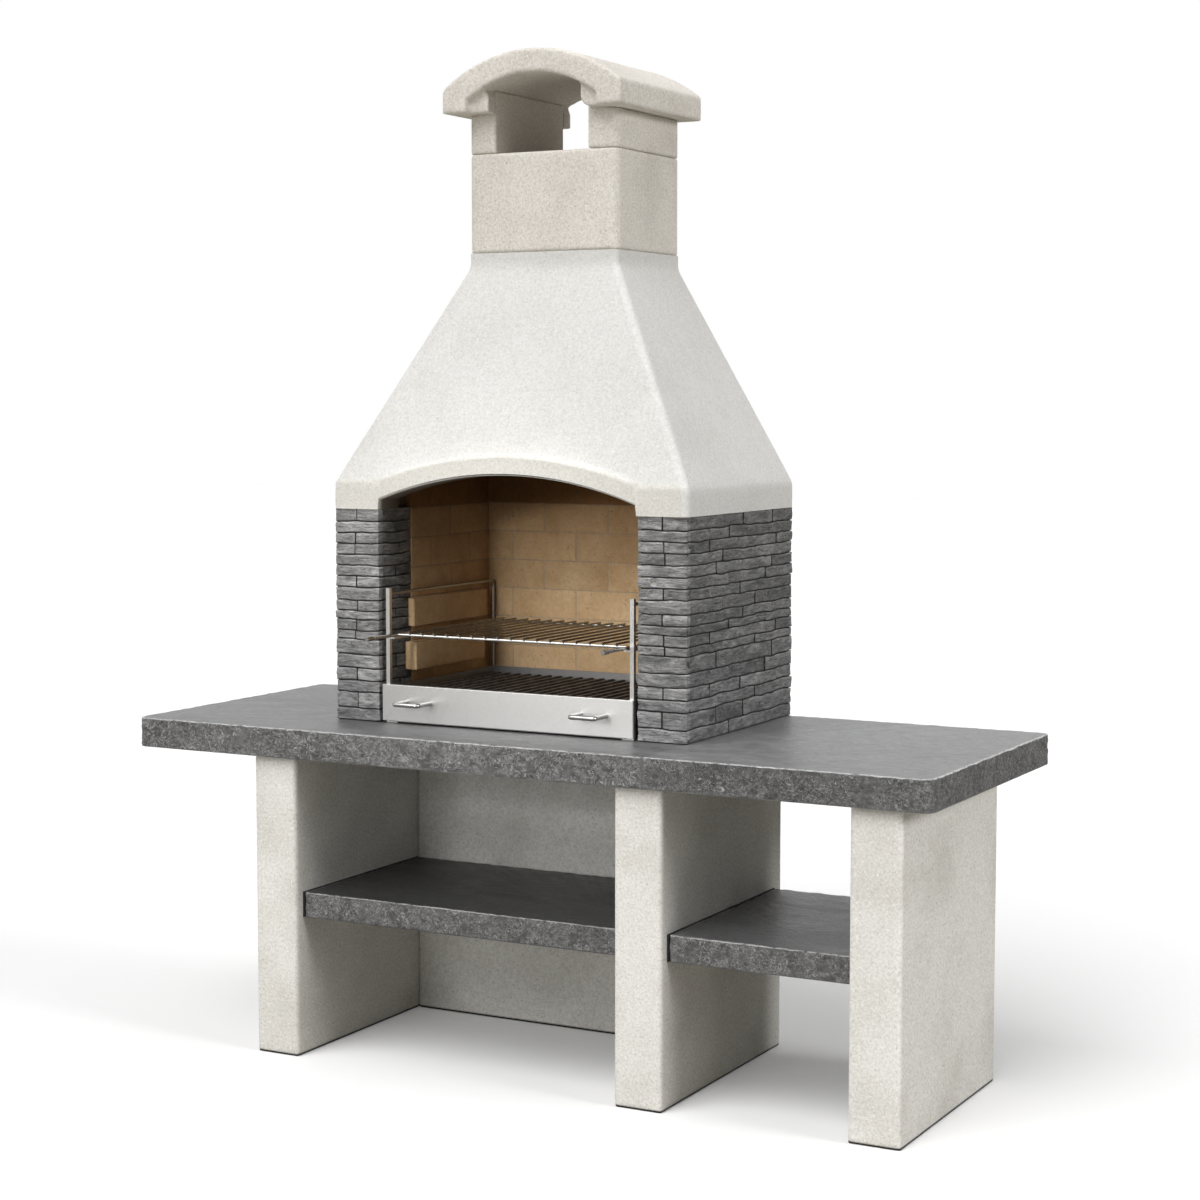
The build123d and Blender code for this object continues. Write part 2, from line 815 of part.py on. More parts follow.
with BuildPart() as handle_nuts:
    with BuildSketch(Plane.XZ.offset(-pan_y[0] - tray_sheet)):
        with Locations([(x, handle_z) for x in stud_places]):
            RegularPolygon(handle_nut_width / 2, 6, major_radius=False)
            Circle(handle_stud_diameter / 2, mode=Mode.SUBTRACT)
    extrude(amount=-handle_nut_height)
handle_nuts.part.label = "handle_nuts"
export_step(handle_nuts.part, "parts/handle_nuts.step")

# Charcoal grate: square bars from front to back, welded on three cross bars.
grate_y = (
    (pan_y[0] + pan_y[1] - grate_depth) / 2,
    (pan_y[0] + pan_y[1] + grate_depth) / 2,
)
bar_pitch = (grate_width - grate_bar_width) / (grate_bar_count - 1)
first_bar = frame_offset - (grate_width - grate_bar_width) / 2
with BuildPart() as charcoal_grate:
    with BuildSketch(Plane.XY.offset(grate_top - grate_bar_height)):
        with Locations(
            [
                (first_bar + bar_pitch * i, (grate_y[0] + grate_y[1]) / 2)
                for i in range(grate_bar_count)
            ]
        ):
            Rectangle(grate_bar_width, grate_depth)
    extrude(amount=grate_bar_height)
    with BuildSketch(Plane.XY.offset(grate_underside)):
        with Locations(
            [
                (frame_offset, grate_y[0] + grate_depth * share)
                for share in grate_cross_bar_shares
            ]
        ):
            Rectangle(grate_width, grate_bar_width)
    extrude(amount=grate_cross_bar_height)
charcoal_grate.part.label = "charcoal_grate"
export_step(charcoal_grate.part, "parts/charcoal_grate.step")

# Cooking grill: side rods that run on as handles, two bars and the wires on them.
grill_z = hearth + grill_rail_height + seat_gap + grill_rod_diameter / 2
grill_back = grill_front + grill_depth
grill_sides = (frame_offset - grill_rod_spacing / 2, frame_offset + grill_rod_spacing / 2)
with BuildPart() as grill_frame:
    for x in grill_sides:
        rod(
            (x, grill_front - grill_handle_length, grill_z),
            (x, grill_back, grill_z),
            grill_rod_diameter,
        )
    for y in (grill_front, grill_back - grill_rod_diameter):
        rod((grill_sides[0], y, grill_z), (grill_sides[1], y, grill_z), grill_bar_diameter)
grill_frame.part.label = "grill_frame"
export_step(grill_frame.part, "parts/grill_frame.step")

wire_z = grill_z + (grill_bar_diameter + grill_wire_diameter) / 2
wire_pitch = grill_rod_spacing / (grill_wire_count + 1)
wire_y = (
    grill_front - grill_bar_diameter / 2 - grill_wire_overhang,
    grill_back - grill_rod_diameter + grill_bar_diameter / 2 + grill_wire_overhang,
)
with BuildPart() as grill_wires:
    with BuildSketch(Plane.XZ.offset(-wire_y[0])):
        with Locations(
            [(grill_sides[0] + wire_pitch * (i + 1), wire_z) for i in range(grill_wire_count)]
        ):
            Circle(grill_wire_diameter / 2)
    extrude(amount=-(wire_y[1] - wire_y[0]))
grill_wires.part.label = "grill_wires"
export_step(grill_wires.part, "parts/grill_wires.step")

# Bright sleeves on the tips of the grill's handles.
with BuildPart() as grill_caps:
    tip = grill_front - grill_handle_length
    for x in grill_sides:
        rod((x, tip - grill_cap_overhang, grill_z), (x, tip + grill_cap_length, grill_z), grill_cap_diameter)
    for x in grill_sides:
        with Locations(Plane(origin=(x, tip, grill_z), z_dir=(0, 1, 0))):
            Cylinder(
                grill_rod_diameter / 2,
                grill_cap_length + overrun,
                align=(Align.CENTER, Align.CENTER, Align.MIN),
                mode=Mode.SUBTRACT,
            )
grill_caps.part.label = "grill_handle_caps"
export_step(grill_caps.part, "parts/grill_handle_caps.step")
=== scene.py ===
import bmesh
import bpy
import numpy as np
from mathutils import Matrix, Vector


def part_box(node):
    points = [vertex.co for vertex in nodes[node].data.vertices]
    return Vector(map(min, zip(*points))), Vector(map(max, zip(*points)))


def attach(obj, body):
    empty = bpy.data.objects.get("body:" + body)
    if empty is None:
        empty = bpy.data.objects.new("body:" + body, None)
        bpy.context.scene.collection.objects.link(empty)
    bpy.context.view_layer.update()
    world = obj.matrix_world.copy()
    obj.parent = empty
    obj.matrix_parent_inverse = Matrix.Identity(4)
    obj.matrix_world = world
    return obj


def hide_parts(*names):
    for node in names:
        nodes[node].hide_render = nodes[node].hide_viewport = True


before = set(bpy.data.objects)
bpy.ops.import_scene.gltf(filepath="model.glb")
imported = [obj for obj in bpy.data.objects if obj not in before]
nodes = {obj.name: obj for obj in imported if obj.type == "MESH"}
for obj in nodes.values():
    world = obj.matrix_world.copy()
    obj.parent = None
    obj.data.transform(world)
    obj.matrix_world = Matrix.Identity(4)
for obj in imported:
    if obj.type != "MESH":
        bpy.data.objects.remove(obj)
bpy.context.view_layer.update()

# The leg walls and the back panel are cast in a mould from pale concrete with
# crushed stone in it. Their faces are flat, their arrises slightly softened, and
# they carry the worktop and, on small ledges, the shelves.
LEG_NODES = ("left_leg", "middle_leg", "right_leg", "back_panel")
# Painted shade: a near-black tint for the contact shadow along the foot of the legs.
FOOT_CONTACT_SHADE = (0.03, 0.028, 0.026)
LEG_PALE = (0.90, 0.885, 0.845)
LEG_DULL = (0.76, 0.742, 0.695)
LEG_CHIP = (0.38, 0.31, 0.25)
# The two heights over which the painted contact shadow fades out.
FOOT_SHADE_HEIGHTS = (0.0042, 0.0066)
# The size of the squares a casting is laid in, and the rounds of smoothing over them.
LEG_WEAR = (0.0055, 4)


def new_finish(name):
    """An empty finish: its material, its node tree and its object coordinates."""
    material = bpy.data.materials.new(name)
    material.use_nodes = True
    tree = material.node_tree
    return material, tree, tree.nodes.new("ShaderNodeTexCoord").outputs["Object"]


def feed(tree, value, socket):
    """Link a socket to another node, or set a colour or a number on it."""
    if isinstance(value, bpy.types.NodeSocket):
        tree.links.new(value, socket)
    elif isinstance(value, tuple):
        socket.default_value = (*value, 1.0)
    else:
        socket.default_value = value


def painted(tree, colour, roughness, gloss=0.5, metal=0.0):
    """Give a finish its colour, its roughness, how strongly it mirrors and its metal."""
    inputs = tree.nodes["Principled BSDF"].inputs
    feed(tree, colour, inputs["Base Color"])
    feed(tree, roughness, inputs["Roughness"])
    feed(tree, gloss, inputs["Specular IOR Level"])
    feed(tree, metal, inputs["Metallic"])


def painted_so_far(tree):
    """The socket that takes the colour of a finish, and the colour that it has so far."""
    socket = tree.nodes["Principled BSDF"].inputs["Base Color"]
    return socket, socket.links[0].from_socket


def stretched(tree, coordinates, stretch):
    """Coordinates multiplied along each axis: a pattern on them turns out that much finer."""
    mapping = tree.nodes.new("ShaderNodeMapping")
    mapping.inputs["Scale"].default_value = stretch
    tree.links.new(coordinates, mapping.inputs["Vector"])
    return mapping.outputs["Vector"]


def cloud(tree, coordinates, scale, detail=4.0, roughness=0.55, stretch=(1, 1, 1), twist=0.0):
    """Soft noise whose patches are about one metre divided by the scale across."""
    noise = tree.nodes.new("ShaderNodeTexNoise")
    noise.inputs["Scale"].default_value = scale
    noise.inputs["Detail"].default_value = detail
    noise.inputs["Roughness"].default_value = roughness
    noise.inputs["Distortion"].default_value = twist
    tree.links.new(stretched(tree, coordinates, stretch), noise.inputs["Vector"])
    return noise.outputs["Fac"]


def shades(tree, factor, *stops):
    """A run of colours along a factor: each stop has its place and its colour or grey."""
    ramp = tree.nodes.new("ShaderNodeValToRGB")
    elements = ramp.color_ramp.elements
    while len(elements) < len(stops):
        elements.new(0.5)
    for element, (place, colour) in zip(elements, stops):
        element.position = place
        element.color = (*(colour if isinstance(colour, tuple) else (colour,) * 3), 1.0)
    tree.links.new(factor, ramp.inputs["Fac"])
    return ramp.outputs["Color"]


def laid_over(tree, factor, under, over, mode="MIX"):
    """One colour laid over another where the factor is high."""
    mix = tree.nodes.new("ShaderNodeMix")
    mix.data_type = "RGBA"
    mix.blend_type = mode
    for value, socket in ((factor, 0), (under, 6), (over, 7)):
        feed(tree, value, mix.inputs[socket])
    return mix.outputs[2]


def times(tree, colour, tint, amount=1.0):
    """A colour multiplied by a tint, as far as the amount goes."""
    return laid_over(tree, amount, colour, tint, "MULTIPLY")


def maths(tree, operation, first, second):
    """One operation on two numbers, each of them a socket or a constant."""
    node = tree.nodes.new("ShaderNodeMath")
    node.operation = operation
    feed(tree, first, node.inputs[0])
    feed(tree, second, node.inputs[1])
    return node.outputs["Value"]


def along(tree, coordinates, axis):
    """How far the coordinates lie along one axis."""
    parts = tree.nodes.new("ShaderNodeSeparateXYZ")
    tree.links.new(coordinates, parts.inputs["Vector"])
    return parts.outputs[axis]


def spots(tree, coordinates, scale, start, end):
    """White where fine noise passes from start to end: the crushed stone in the mix."""
    return shades(tree, cloud(tree, coordinates, scale, 2.0, 0.7), (start, 0), (end, 1))


def relief(tree, *heights):
    """Bumps one upon another: each is a height, its depth in metres and its strength."""
    normal = None
    for height, depth, strength in heights:
        bump = tree.nodes.new("ShaderNodeBump")
        bump.inputs["Distance"].default_value = depth
        bump.inputs["Strength"].default_value = strength
        tree.links.new(height, bump.inputs["Height"])
        if normal is not None:
            tree.links.new(normal, bump.inputs["Normal"])
        normal = bump.outputs["Normal"]
    tree.links.new(normal, tree.nodes["Principled BSDF"].inputs["Normal"])


def cast_concrete(name, pale, dull, chip, chip_share=0.7):
    """Cast concrete: a pale ground with soft clouds, fine grain, hairlines, pits and chips."""
    material, tree, place = new_finish(name)
    ground = shades(tree, cloud(tree, place, 5.0, 6.0), (0.3, dull), (0.55, pale), (0.8, pale))
    fine = cloud(tree, place, 155.0, 5.0, 0.86)
    fine = shades(tree, fine, (0.34, (0.74, 0.73, 0.72)), (0.50, 0.97), (0.64, 1.12))
    ground = times(tree, ground, fine, min(1.0, 0.3 + chip_share))
    hairlines = cloud(tree, place, 42.0, 7.0, 0.75, twist=1.2)
    hairlines = shades(tree, hairlines, (0.488, 1.0), (0.500, (0.84, 0.83, 0.82)), (0.512, 1.0))
    ground = times(tree, ground, hairlines)
    chips = maths(tree, "MULTIPLY", spots(tree, place, 185.0, 0.655, 0.70), chip_share)
    ground = laid_over(tree, chips, ground, chip)
    lifted = tuple(min(1.0, value * 1.14) for value in pale)
    ground = laid_over(tree, spots(tree, place, 200.0, 0.63, 0.69), ground, lifted)
    painted(tree, ground, 0.88, 0.25)
    clouds = cloud(tree, place, 9.0, 5.0)
    relief(tree, (clouds, 0.006, 0.30), (fine, 0.0016, 0.50), (hairlines, 0.0010, 0.50))
    return material


def finish_node(name, material):
    """Give a CAD node its finish and leave its shape as it is."""
    piece = nodes[name]
    for slot in piece.material_slots:
        slot.material = material
    return piece


def soften_casting(name, material, grain_size, rounds):
    """Wear the arrises of a casting: its surface is laid anew in small squares and relaxed."""
    piece = finish_node(name, material)
    weld = piece.modifiers.new("joined", "WELD")
    weld.merge_threshold = 0.00001
    squares = piece.modifiers.new("small squares", "REMESH")
    squares.mode = "VOXEL"
    squares.voxel_size = grain_size
    squares.use_smooth_shade = True
    worn = piece.modifiers.new("worn arrises", "SMOOTH")
    worn.factor = 0.5
    worn.iterations = rounds
    return piece


leg_concrete = cast_concrete("leg_concrete", LEG_PALE, LEG_DULL, LEG_CHIP)
tree = leg_concrete.node_tree
# Painted shade: within a few millimetres of the floor the leg concrete is darkened, the contact
# shadow where the legs stand.
height = along(tree, tree.nodes["Texture Coordinate"].outputs["Object"], "Z")
foot = shades(tree, height, (FOOT_SHADE_HEIGHTS[0], FOOT_CONTACT_SHADE), (FOOT_SHADE_HEIGHTS[1], 1.0))
base, colour_before_foot_shade = painted_so_far(tree)
tree.links.new(times(tree, colour_before_foot_shade, foot), base)
for name in LEG_NODES:
    soften_casting(name, leg_concrete, *LEG_WEAR)

# The worktop slabs and the shelves are cast from dark grey concrete against a
# mould of hewn slate: a smooth, streaky top, and edges chipped all round, with a
# pale line where the top meets them. They lie on the legs by their own weight.
SLAB_NODES = ("main_worktop", "side_worktop", "main_shelf", "side_shelf")
SLAB_STEP = 0.0038
SLAB_CHIP = 0.0050
SLAB_CORNER = {"main_worktop": (0.030, 0.0), "side_worktop": (0.0, 0.030)}
SHELF_CORNER = 0.010
SLAB_TOP_DARK = (0.115, 0.115, 0.118)
SLAB_TOP_PALE = (0.215, 0.215, 0.220)
SLAB_EDGE_DARK = (0.062, 0.062, 0.063)
SLAB_EDGE_MID = (0.108, 0.107, 0.108)
SLAB_EDGE_PALE = (0.165, 0.164, 0.165)
SLAB_VEIN = (0.60, 0.60, 0.595)
# Painted shade and light on each slab, as factors on the colour of its edges and of its top:
# edges and tops are made darker or lighter by how light falls on them, and the shelf tops much
# darker, as in the shade of the worktop.
SLAB_PAINTED_SHADE = {
    "main_worktop": (1.04, 0.84),
    "side_worktop": (0.84, 1.15),
    "main_shelf": (0.93, 0.22),
    "side_shelf": (1.0, 0.55),
}
SLAB_MEETING = 0.00045
# How far the rows under and over the broken side are drawn in, and the nicks on top.
SLAB_UNDER = (0.012, 0.003)
SLAB_OVER = (0.0009, 0.0035, 0.010)
SLAB_NICK = 0.0030
SLAB_FADE = 0.006
SLAB_STIR = 0.004
SHARPEST_CORNER = 0.0008
LARGE_FLAKE = (0.030, 0.030, 0.016)
SMALL_FLAKE = (0.013, 0.013, 0.008)


def corners_of(node):
    """The lowest and the highest corner of a CAD node's box."""
    return [np.array(corner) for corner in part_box(node)]


def ring_quads(count, pairs):
    """Quads between pairs of closed rings of points that are numbered ring after ring."""
    ring = np.arange(count)
    on = np.roll(ring, -1)
    return np.concatenate(
        [
            np.column_stack([i * count + ring, i * count + on, j * count + on, j * count + ring])
            for i, j in pairs
        ]
    )


def capped_rings(count, rows):
    """Faces of closed rings one after another, with a face across each end."""
    ring = np.arange(count)
    quads = ring_quads(count, [(i, i + 1) for i in range(rows - 1)]).tolist()
    return quads + [ring[::-1].tolist(), (ring + (rows - 1) * count).tolist()]


def lattice(whole_cells, seed):
    """Numbers from 0 to 1 that belong to whole cells: the fraction of a large sine."""
    key = whole_cells @ np.array([127.1, 311.7, 74.7]) + seed * 57.31
    value = np.sin(key) * 43758.5453
    return value - np.floor(value)


def smooth_step(t):
    """0 below 0, 1 above 1, and 3t^2 - 2t^3 between."""
    t = np.clip(t, 0, 1)
    return t * t * (3 - 2 * t)


def soft_noise(points, size, seed=0):
    """Noise from -1 to 1 in patches of one size: cell corners blended by a smooth step."""
    scaled = points / size
    cell = np.floor(scaled)
    t = smooth_step(scaled - cell)
    total = np.zeros(len(points))
    for corner in np.ndindex(2, 2, 2):
        weight = np.prod(np.where(corner, t, 1 - t), axis=1)
        total += weight * lattice(cell + corner, seed)
    return 2 * total - 1


def layered_noise(points, size, layers=3, seed=0):
    """Noise in halving sizes: each layer is half as large and half as strong."""
    total = sum(soft_noise(points, size / 2**i, seed + i) / 2**i for i in range(layers))
    return total / (2 - 0.5 ** (layers - 1))


def flake_scars(points, size, seed=0):
    """Hollows left by flakes: the squared distance to the nearest scattered centre.

    It is 0 in the middle of a hollow and up to about 1 on the ridge between two.
    """
    scaled = points / np.asarray(size)
    cell = np.floor(scaled)
    nearest = np.full(len(points), 9.0)
    for corner in np.ndindex(3, 3, 3):
        near = cell + np.array(corner) - 1
        shifts = [lattice(near, seed + 11 * i) for i in range(3)]
        centre = near + np.column_stack(shifts)
        nearest = np.minimum(nearest, ((scaled - centre) ** 2).sum(axis=1))
    return np.clip(nearest, 0, 1)


def plan_outline(low, high, corners, step):
    """Points round a slab in plan, with the directions in which its sides face.

    The corners of the left and of the right end are quarter circles of the given radii.
    """
    left, right = (max(radius, SHARPEST_CORNER) for radius in corners)
    places = [
        (high[0] - right, low[1] + right, right, -np.pi / 2),
        (high[0] - right, high[1] - right, right, 0.0),
        (low[0] + left, high[1] - left, left, np.pi / 2),
        (low[0] + left, low[1] + left, left, np.pi),
    ]
    points, facing = [], []
    for (x, y, radius, start), following in zip(places, places[1:] + places[:1]):
        count = max(3, int(np.ceil(radius * np.pi / 2 / step)) + 1)
        angle = np.linspace(start, start + np.pi / 2, count)
        turn = np.column_stack([np.cos(angle), np.sin(angle)])
        arc = np.array([x, y]) + radius * turn
        after = np.array(following[:2]) + following[2] * turn[-1]
        run = np.linalg.norm(after - arc[-1])
        share = np.linspace(0, 1, max(2, int(np.ceil(run / step))) + 1)[1:-1, None]
        points += [arc, arc[-1] + share * (after - arc[-1])]
        facing += [turn, np.repeat(turn[-1:], len(share), axis=0)]
    return np.concatenate(points), np.concatenate(facing)


def mesh_piece(name, points, faces, material, slot, body, replaced=(), tones=None, sharp=35.0):
    """Make a piece from its points and faces, smooth but for its sharp arrises."""
    mesh = bpy.data.meshes.new(name)
    mesh.from_pydata(np.asarray(points).tolist(), [], [list(face) for face in faces])
    mesh.polygons.foreach_set("use_smooth", np.ones(len(mesh.polygons), bool))
    mesh.set_sharp_from_angle(angle=np.radians(sharp))
    for key, values in (tones or {}).items():
        layer = mesh.attributes.new(key, "FLOAT", "POINT")
        layer.data.foreach_set("value", np.asarray(values, np.float32))
    mesh.materials.append(material)
    mesh.update()
    piece = bpy.data.objects.new(name, mesh)
    bpy.context.scene.collection.objects.link(piece)
    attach(piece, body)
    if replaced:
        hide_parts(*replaced)
    return piece


def attribute(tree, name):
    """A number that the mesh carries for each of its points."""
    node = tree.nodes.new("ShaderNodeAttribute")
    node.attribute_name = name
    return node.outputs["Fac"]


def stirred(tree, coordinates, scale, amount):
    """Coordinates pushed about by noise, so that cells drawn on them turn out uneven."""
    noise = tree.nodes.new("ShaderNodeTexNoise")
    noise.inputs["Scale"].default_value = scale
    noise.inputs["Detail"].default_value = 3.0
    tree.links.new(coordinates, noise.inputs["Vector"])
    push = tree.nodes.new("ShaderNodeVectorMath")
    push.operation = "MULTIPLY_ADD"
    push.inputs[1].default_value = (amount,) * 3
    tree.links.new(noise.outputs["Color"], push.inputs[0])
    tree.links.new(coordinates, push.inputs[2])
    return push.outputs["Vector"]


def cells(tree, coordinates, scale, stretch):
    """Scattered cells, each of a colour of its own."""
    voronoi = tree.nodes.new("ShaderNodeTexVoronoi")
    voronoi.inputs["Scale"].default_value = scale
    tree.links.new(stretched(tree, coordinates, stretch), voronoi.inputs["Vector"])
    return voronoi.outputs["Color"]


def hewn_slate(name):
    """The slab finish: streaky where the mesh is smooth, chipped where it says hewn."""
    material, tree, place = new_finish(name)
    hewn = attribute(tree, "hewn")
    streaks = cloud(tree, place, 6.0, 9.0, 0.70, (0.75, 1.3, 1.0), 1.2)
    top = shades(tree, streaks, (0.34, SLAB_TOP_DARK), (0.66, SLAB_TOP_PALE))
    veins = cloud(tree, place, 11.0, 7.0, 0.72, (0.6, 1.5, 1.0), 2.5)
    veins = shades(
        tree, veins, (0.40, 0.80), (0.495, 1.0), (0.505, 1.35), (0.52, 1.0), (0.60, 0.86)
    )
    top = times(tree, top, veins, 0.75)
    facet = cells(tree, stirred(tree, place, 75.0, 0.012), 120.0, (1.0, 1.0, 1.3))
    facet = shades(tree, facet, (0.12, 0.72), (0.5, 1.0), (0.9, 1.3))
    chips = cloud(tree, place, 40.0, 5.0, 0.66, (1.0, 1.0, 1.2), 2.0)
    edge = shades(
        tree, chips, (0.34, SLAB_EDGE_DARK), (0.50, SLAB_EDGE_MID), (0.66, SLAB_EDGE_PALE)
    )
    patches = shades(tree, cloud(tree, place, 12.0, 4.0), (0.36, 0.76), (0.62, 1.18))
    edge = times(tree, times(tree, edge, facet), patches)
    ridges = []
    for scale, width, bright in ((30.0, 0.020, 1.0), (50.0, 0.026, 0.8)):
        ridge = cloud(tree, place, scale, 3.0, 0.50, (1.0, 1.0, 1.25), 2.8)
        ridge = shades(tree, ridge, (0.5 - width, 0), (0.5, bright), (0.5 + width, 0))
        gaps = shades(tree, cloud(tree, place, scale * 0.9, 3.0), (0.42, 0), (0.52, 1))
        ridges.append(times(tree, ridge, gaps))
        edge = laid_over(tree, ridges[-1], edge, SLAB_VEIN)
    worn = shades(tree, cloud(tree, place, 70.0, 3.0, 0.7), (0.34, 0), (0.52, 1))
    line = laid_over(tree, attribute(tree, "arris"), (0.0, 0.0, 0.0), worn)
    colour = laid_over(tree, line, laid_over(tree, hewn, top, edge), SLAB_VEIN)
    matt = shades(tree, streaks, (0.36, 0.28), (0.62, 0.42))
    matt = laid_over(tree, hewn, matt, (0.75, 0.75, 0.75))
    # The colour is multiplied by the painted shade that each point carries.
    painted(tree, times(tree, colour, attribute(tree, "shade")), matt)
    relief(
        tree,
        (cloud(tree, place, 22.0, 6.0, 0.6, (0.7, 1.3, 1.0), 1.0), 0.0020, 0.25),
        (chips, 0.0080, 0.60),
        (ridges[0], 0.0012, 0.70),
        (ridges[1], 0.0009, 0.70),
    )
    return material


def hewn_block(node, corners):
    """A slab with hewn edges: rows of its plan outline from the bottom to the top.

    Each side point is drawn in by the chip depth, times the share left between the
    ridges of two sizes of flake scars. The end that meets the other slab stays flat.
    """
    low, high = corners_of(node)
    low[0] -= SLAB_MEETING * (corners[0] == 0)
    high[0] += SLAB_MEETING * (corners[1] == 0)
    outline, facing = plan_outline(low, high, corners, SLAB_STEP)
    tall = high[2] - low[2]
    rise = np.linspace(SLAB_UNDER[1], tall - SLAB_UNDER[1], int(tall / SLAB_STEP))
    insets = np.concatenate([SLAB_UNDER, 0 * rise, SLAB_OVER])
    heights = np.concatenate([[0, 0], rise, [tall - SLAB_OVER[0], tall, tall]])
    free = np.ones(len(outline))
    for end, radius in zip((0, 1), corners):
        if not radius:
            gap = outline[:, 0] - low[0] if end == 0 else high[0] - outline[:, 0]
            free *= np.clip(gap / SLAB_FADE, 0, 1)
    rows, hewn, arris = [], [], []
    for inset, height in zip(insets, heights):
        z = np.full(len(outline), low[2] + height)
        place = np.column_stack([outline, z])
        uneven = place + SLAB_STIR * np.column_stack(
            [layered_noise(place, 0.02, 2, 5), layered_noise(place, 0.02, 2, 6), 0 * z]
        )
        large = 1 - flake_scars(uneven, LARGE_FLAKE, 3)
        small = 1 - flake_scars(uneven, SMALL_FLAKE, 8)
        rough = layered_noise(place, 0.050, 3, 11)
        depth = SLAB_CHIP * np.clip(0.55 * large + 0.35 * small + 0.25 * rough, 0, 1)
        side = 1.0 if inset < 0.0005 else np.exp(-inset / 0.004)
        if height == 0:
            side = 0.3
        depth *= free * side
        plan = outline - facing * (inset * free + depth)[:, None]
        nick = np.clip(layered_noise(place, 0.016, 3, 51) + 0.15, 0, 1)
        z = z - SLAB_NICK * nick * free * (0 < inset < 0.004 and height > 0)
        rows.append(np.column_stack([plan, z]))
        on_side = height > 0 and inset < 0.002
        hewn.append(np.full(len(outline), 1.0 if on_side else 0.0) * np.clip(free, 0.4, 1))
        arris.append(free * (0.0005 < inset < 0.005 and height > 0))
    points = np.concatenate(rows)
    faces = capped_rings(len(outline), len(rows))
    hewn, arris = np.concatenate(hewn), np.concatenate(arris)
    # Each point carries its painted shade: the edge factor on the hewn sides, the top factor
    # elsewhere.
    edge_shade, top_shade = SLAB_PAINTED_SHADE[node]
    shade = top_shade + (edge_shade - top_shade) * hewn
    return points, faces, {"hewn": hewn, "arris": arris, "shade": shade}


slate_finish = hewn_slate("hewn_slate")
for name in SLAB_NODES:
    shelf = name.endswith("_shelf")
    slot = "shelf_concrete" if shelf else "worktop_slab"
    corners = (SHELF_CORNER, SHELF_CORNER) if shelf else SLAB_CORNER[name]
    points, faces, tones = hewn_block(name, corners)
    mesh_piece(
        f"{name}_slab", points, faces, slate_finish, slot, "structure", (name,), tones, 50.0
    )

# The concrete cores and the rear wall of the fire chamber stand on the main slab.
# The cores show as dark lines in the joints between the stone strips and bare at
# the back, and the rear wall is bare cast concrete too.
CORE_DARK = (0.030, 0.029, 0.028)
CORE_BARE_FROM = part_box("left_side_wall")[1][1] - 0.0015
REAR_WALL_WEAR = (0.006, 3)
core_finish, tree, place = new_finish("core_in_joints")
core_pale = tuple(1.8 * value for value in CORE_DARK)
core_tone = shades(tree, cloud(tree, place, 40.0), (0.3, CORE_DARK), (0.7, core_pale))
behind = maths(tree, "GREATER_THAN", along(tree, place, "Y"), CORE_BARE_FROM)
bare = shades(tree, cloud(tree, place, 150.0, 5.0, 0.8), (0.34, LEG_CHIP), (0.50, LEG_DULL))
painted(tree, laid_over(tree, behind, core_tone, bare), 0.95)
for name in ("left_side_wall", "right_side_wall"):
    finish_node(name, core_finish)
soften_casting("rear_wall", leg_concrete, *REAR_WALL_WEAR)

# Thin dark strips stand in the play between the shelf ends and the legs, painted shade:
# they darken the gap where its shade falls. They stand half a millimetre proud of the slabs.
SHADE_STRIP_THICK = 0.0031
SHADE_STRIP_INTO_SHELF = 0.0004
SHADE_STRIP_PROUD = 0.0006
SHADE_STRIP_SET_BACK = 0.0030
SHADE_STRIP_BACK = 0.002
SHADE_STRIP_ROUND = 0.0008
SHADE_STRIP_STEPS = (0.02, 0.02, 0.01)


def grid_lines(low, high, edge, step):
    """Cutting lines of a block from low to high: close at both edges, even between."""
    edge = min(edge, (high - low) * 0.25)
    count = max(2, int(np.ceil((high - low - 2 * edge) / step)) + 1)
    middle = np.linspace(low + edge, high - edge, count)
    return np.concatenate([[low, low + edge * 0.35], middle, [high - edge * 0.35, high]])


def block_surface(low, high, edge, step):
    """A closed box as a grid on each of its six faces, with the shared points joined.

    Each face is the product of two sets of cutting lines, and its quads turn outwards.
    """
    lines = [grid_lines(low[i], high[i], edge, step[i]) for i in range(3)]
    points, quads, start = [], [], 0
    for axis in range(3):
        a, b = (axis + 1) % 3, (axis + 2) % 3
        u, v = np.meshgrid(lines[a], lines[b], indexing="ij")
        rows, columns = u.shape
        index = np.arange(rows * columns).reshape(rows, columns)
        quad = np.stack(
            [index[:-1, :-1], index[1:, :-1], index[1:, 1:], index[:-1, 1:]], axis=-1
        ).reshape(-1, 4)
        for side, value in ((0, low[axis]), (1, high[axis])):
            face = np.empty((rows * columns, 3))
            face[:, axis] = value
            face[:, a] = u.ravel()
            face[:, b] = v.ravel()
            points.append(face)
            quads.append((quad if side else quad[:, ::-1]) + start)
            start += len(face)
    points = np.concatenate(points)
    quads = np.concatenate(quads)
    keys = np.round(points * 1e7).astype(np.int64)
    _, first, merged = np.unique(keys, axis=0, return_index=True, return_inverse=True)
    return points[first], merged.ravel()[quads]


def rounded(points, low, high, radius):
    """Round a box: each point goes one radius out from the box drawn in by that radius.

    Returns the new points and the directions in which their surface faces.
    """
    core = np.clip(points, np.asarray(low) + radius, np.asarray(high) - radius)
    out = points - core
    length = np.linalg.norm(out, axis=1, keepdims=True)
    facing = out / np.maximum(length, 1e-9)
    return core + facing * radius, facing


def worn_block(low, high, radius, step, edge=None):
    """A block with rounded arrises: its points, its quads, and where each point faces."""
    points, quads = block_surface(low, high, edge or radius, step)
    points, facing = rounded(points, low, high, radius)
    return points, quads, facing


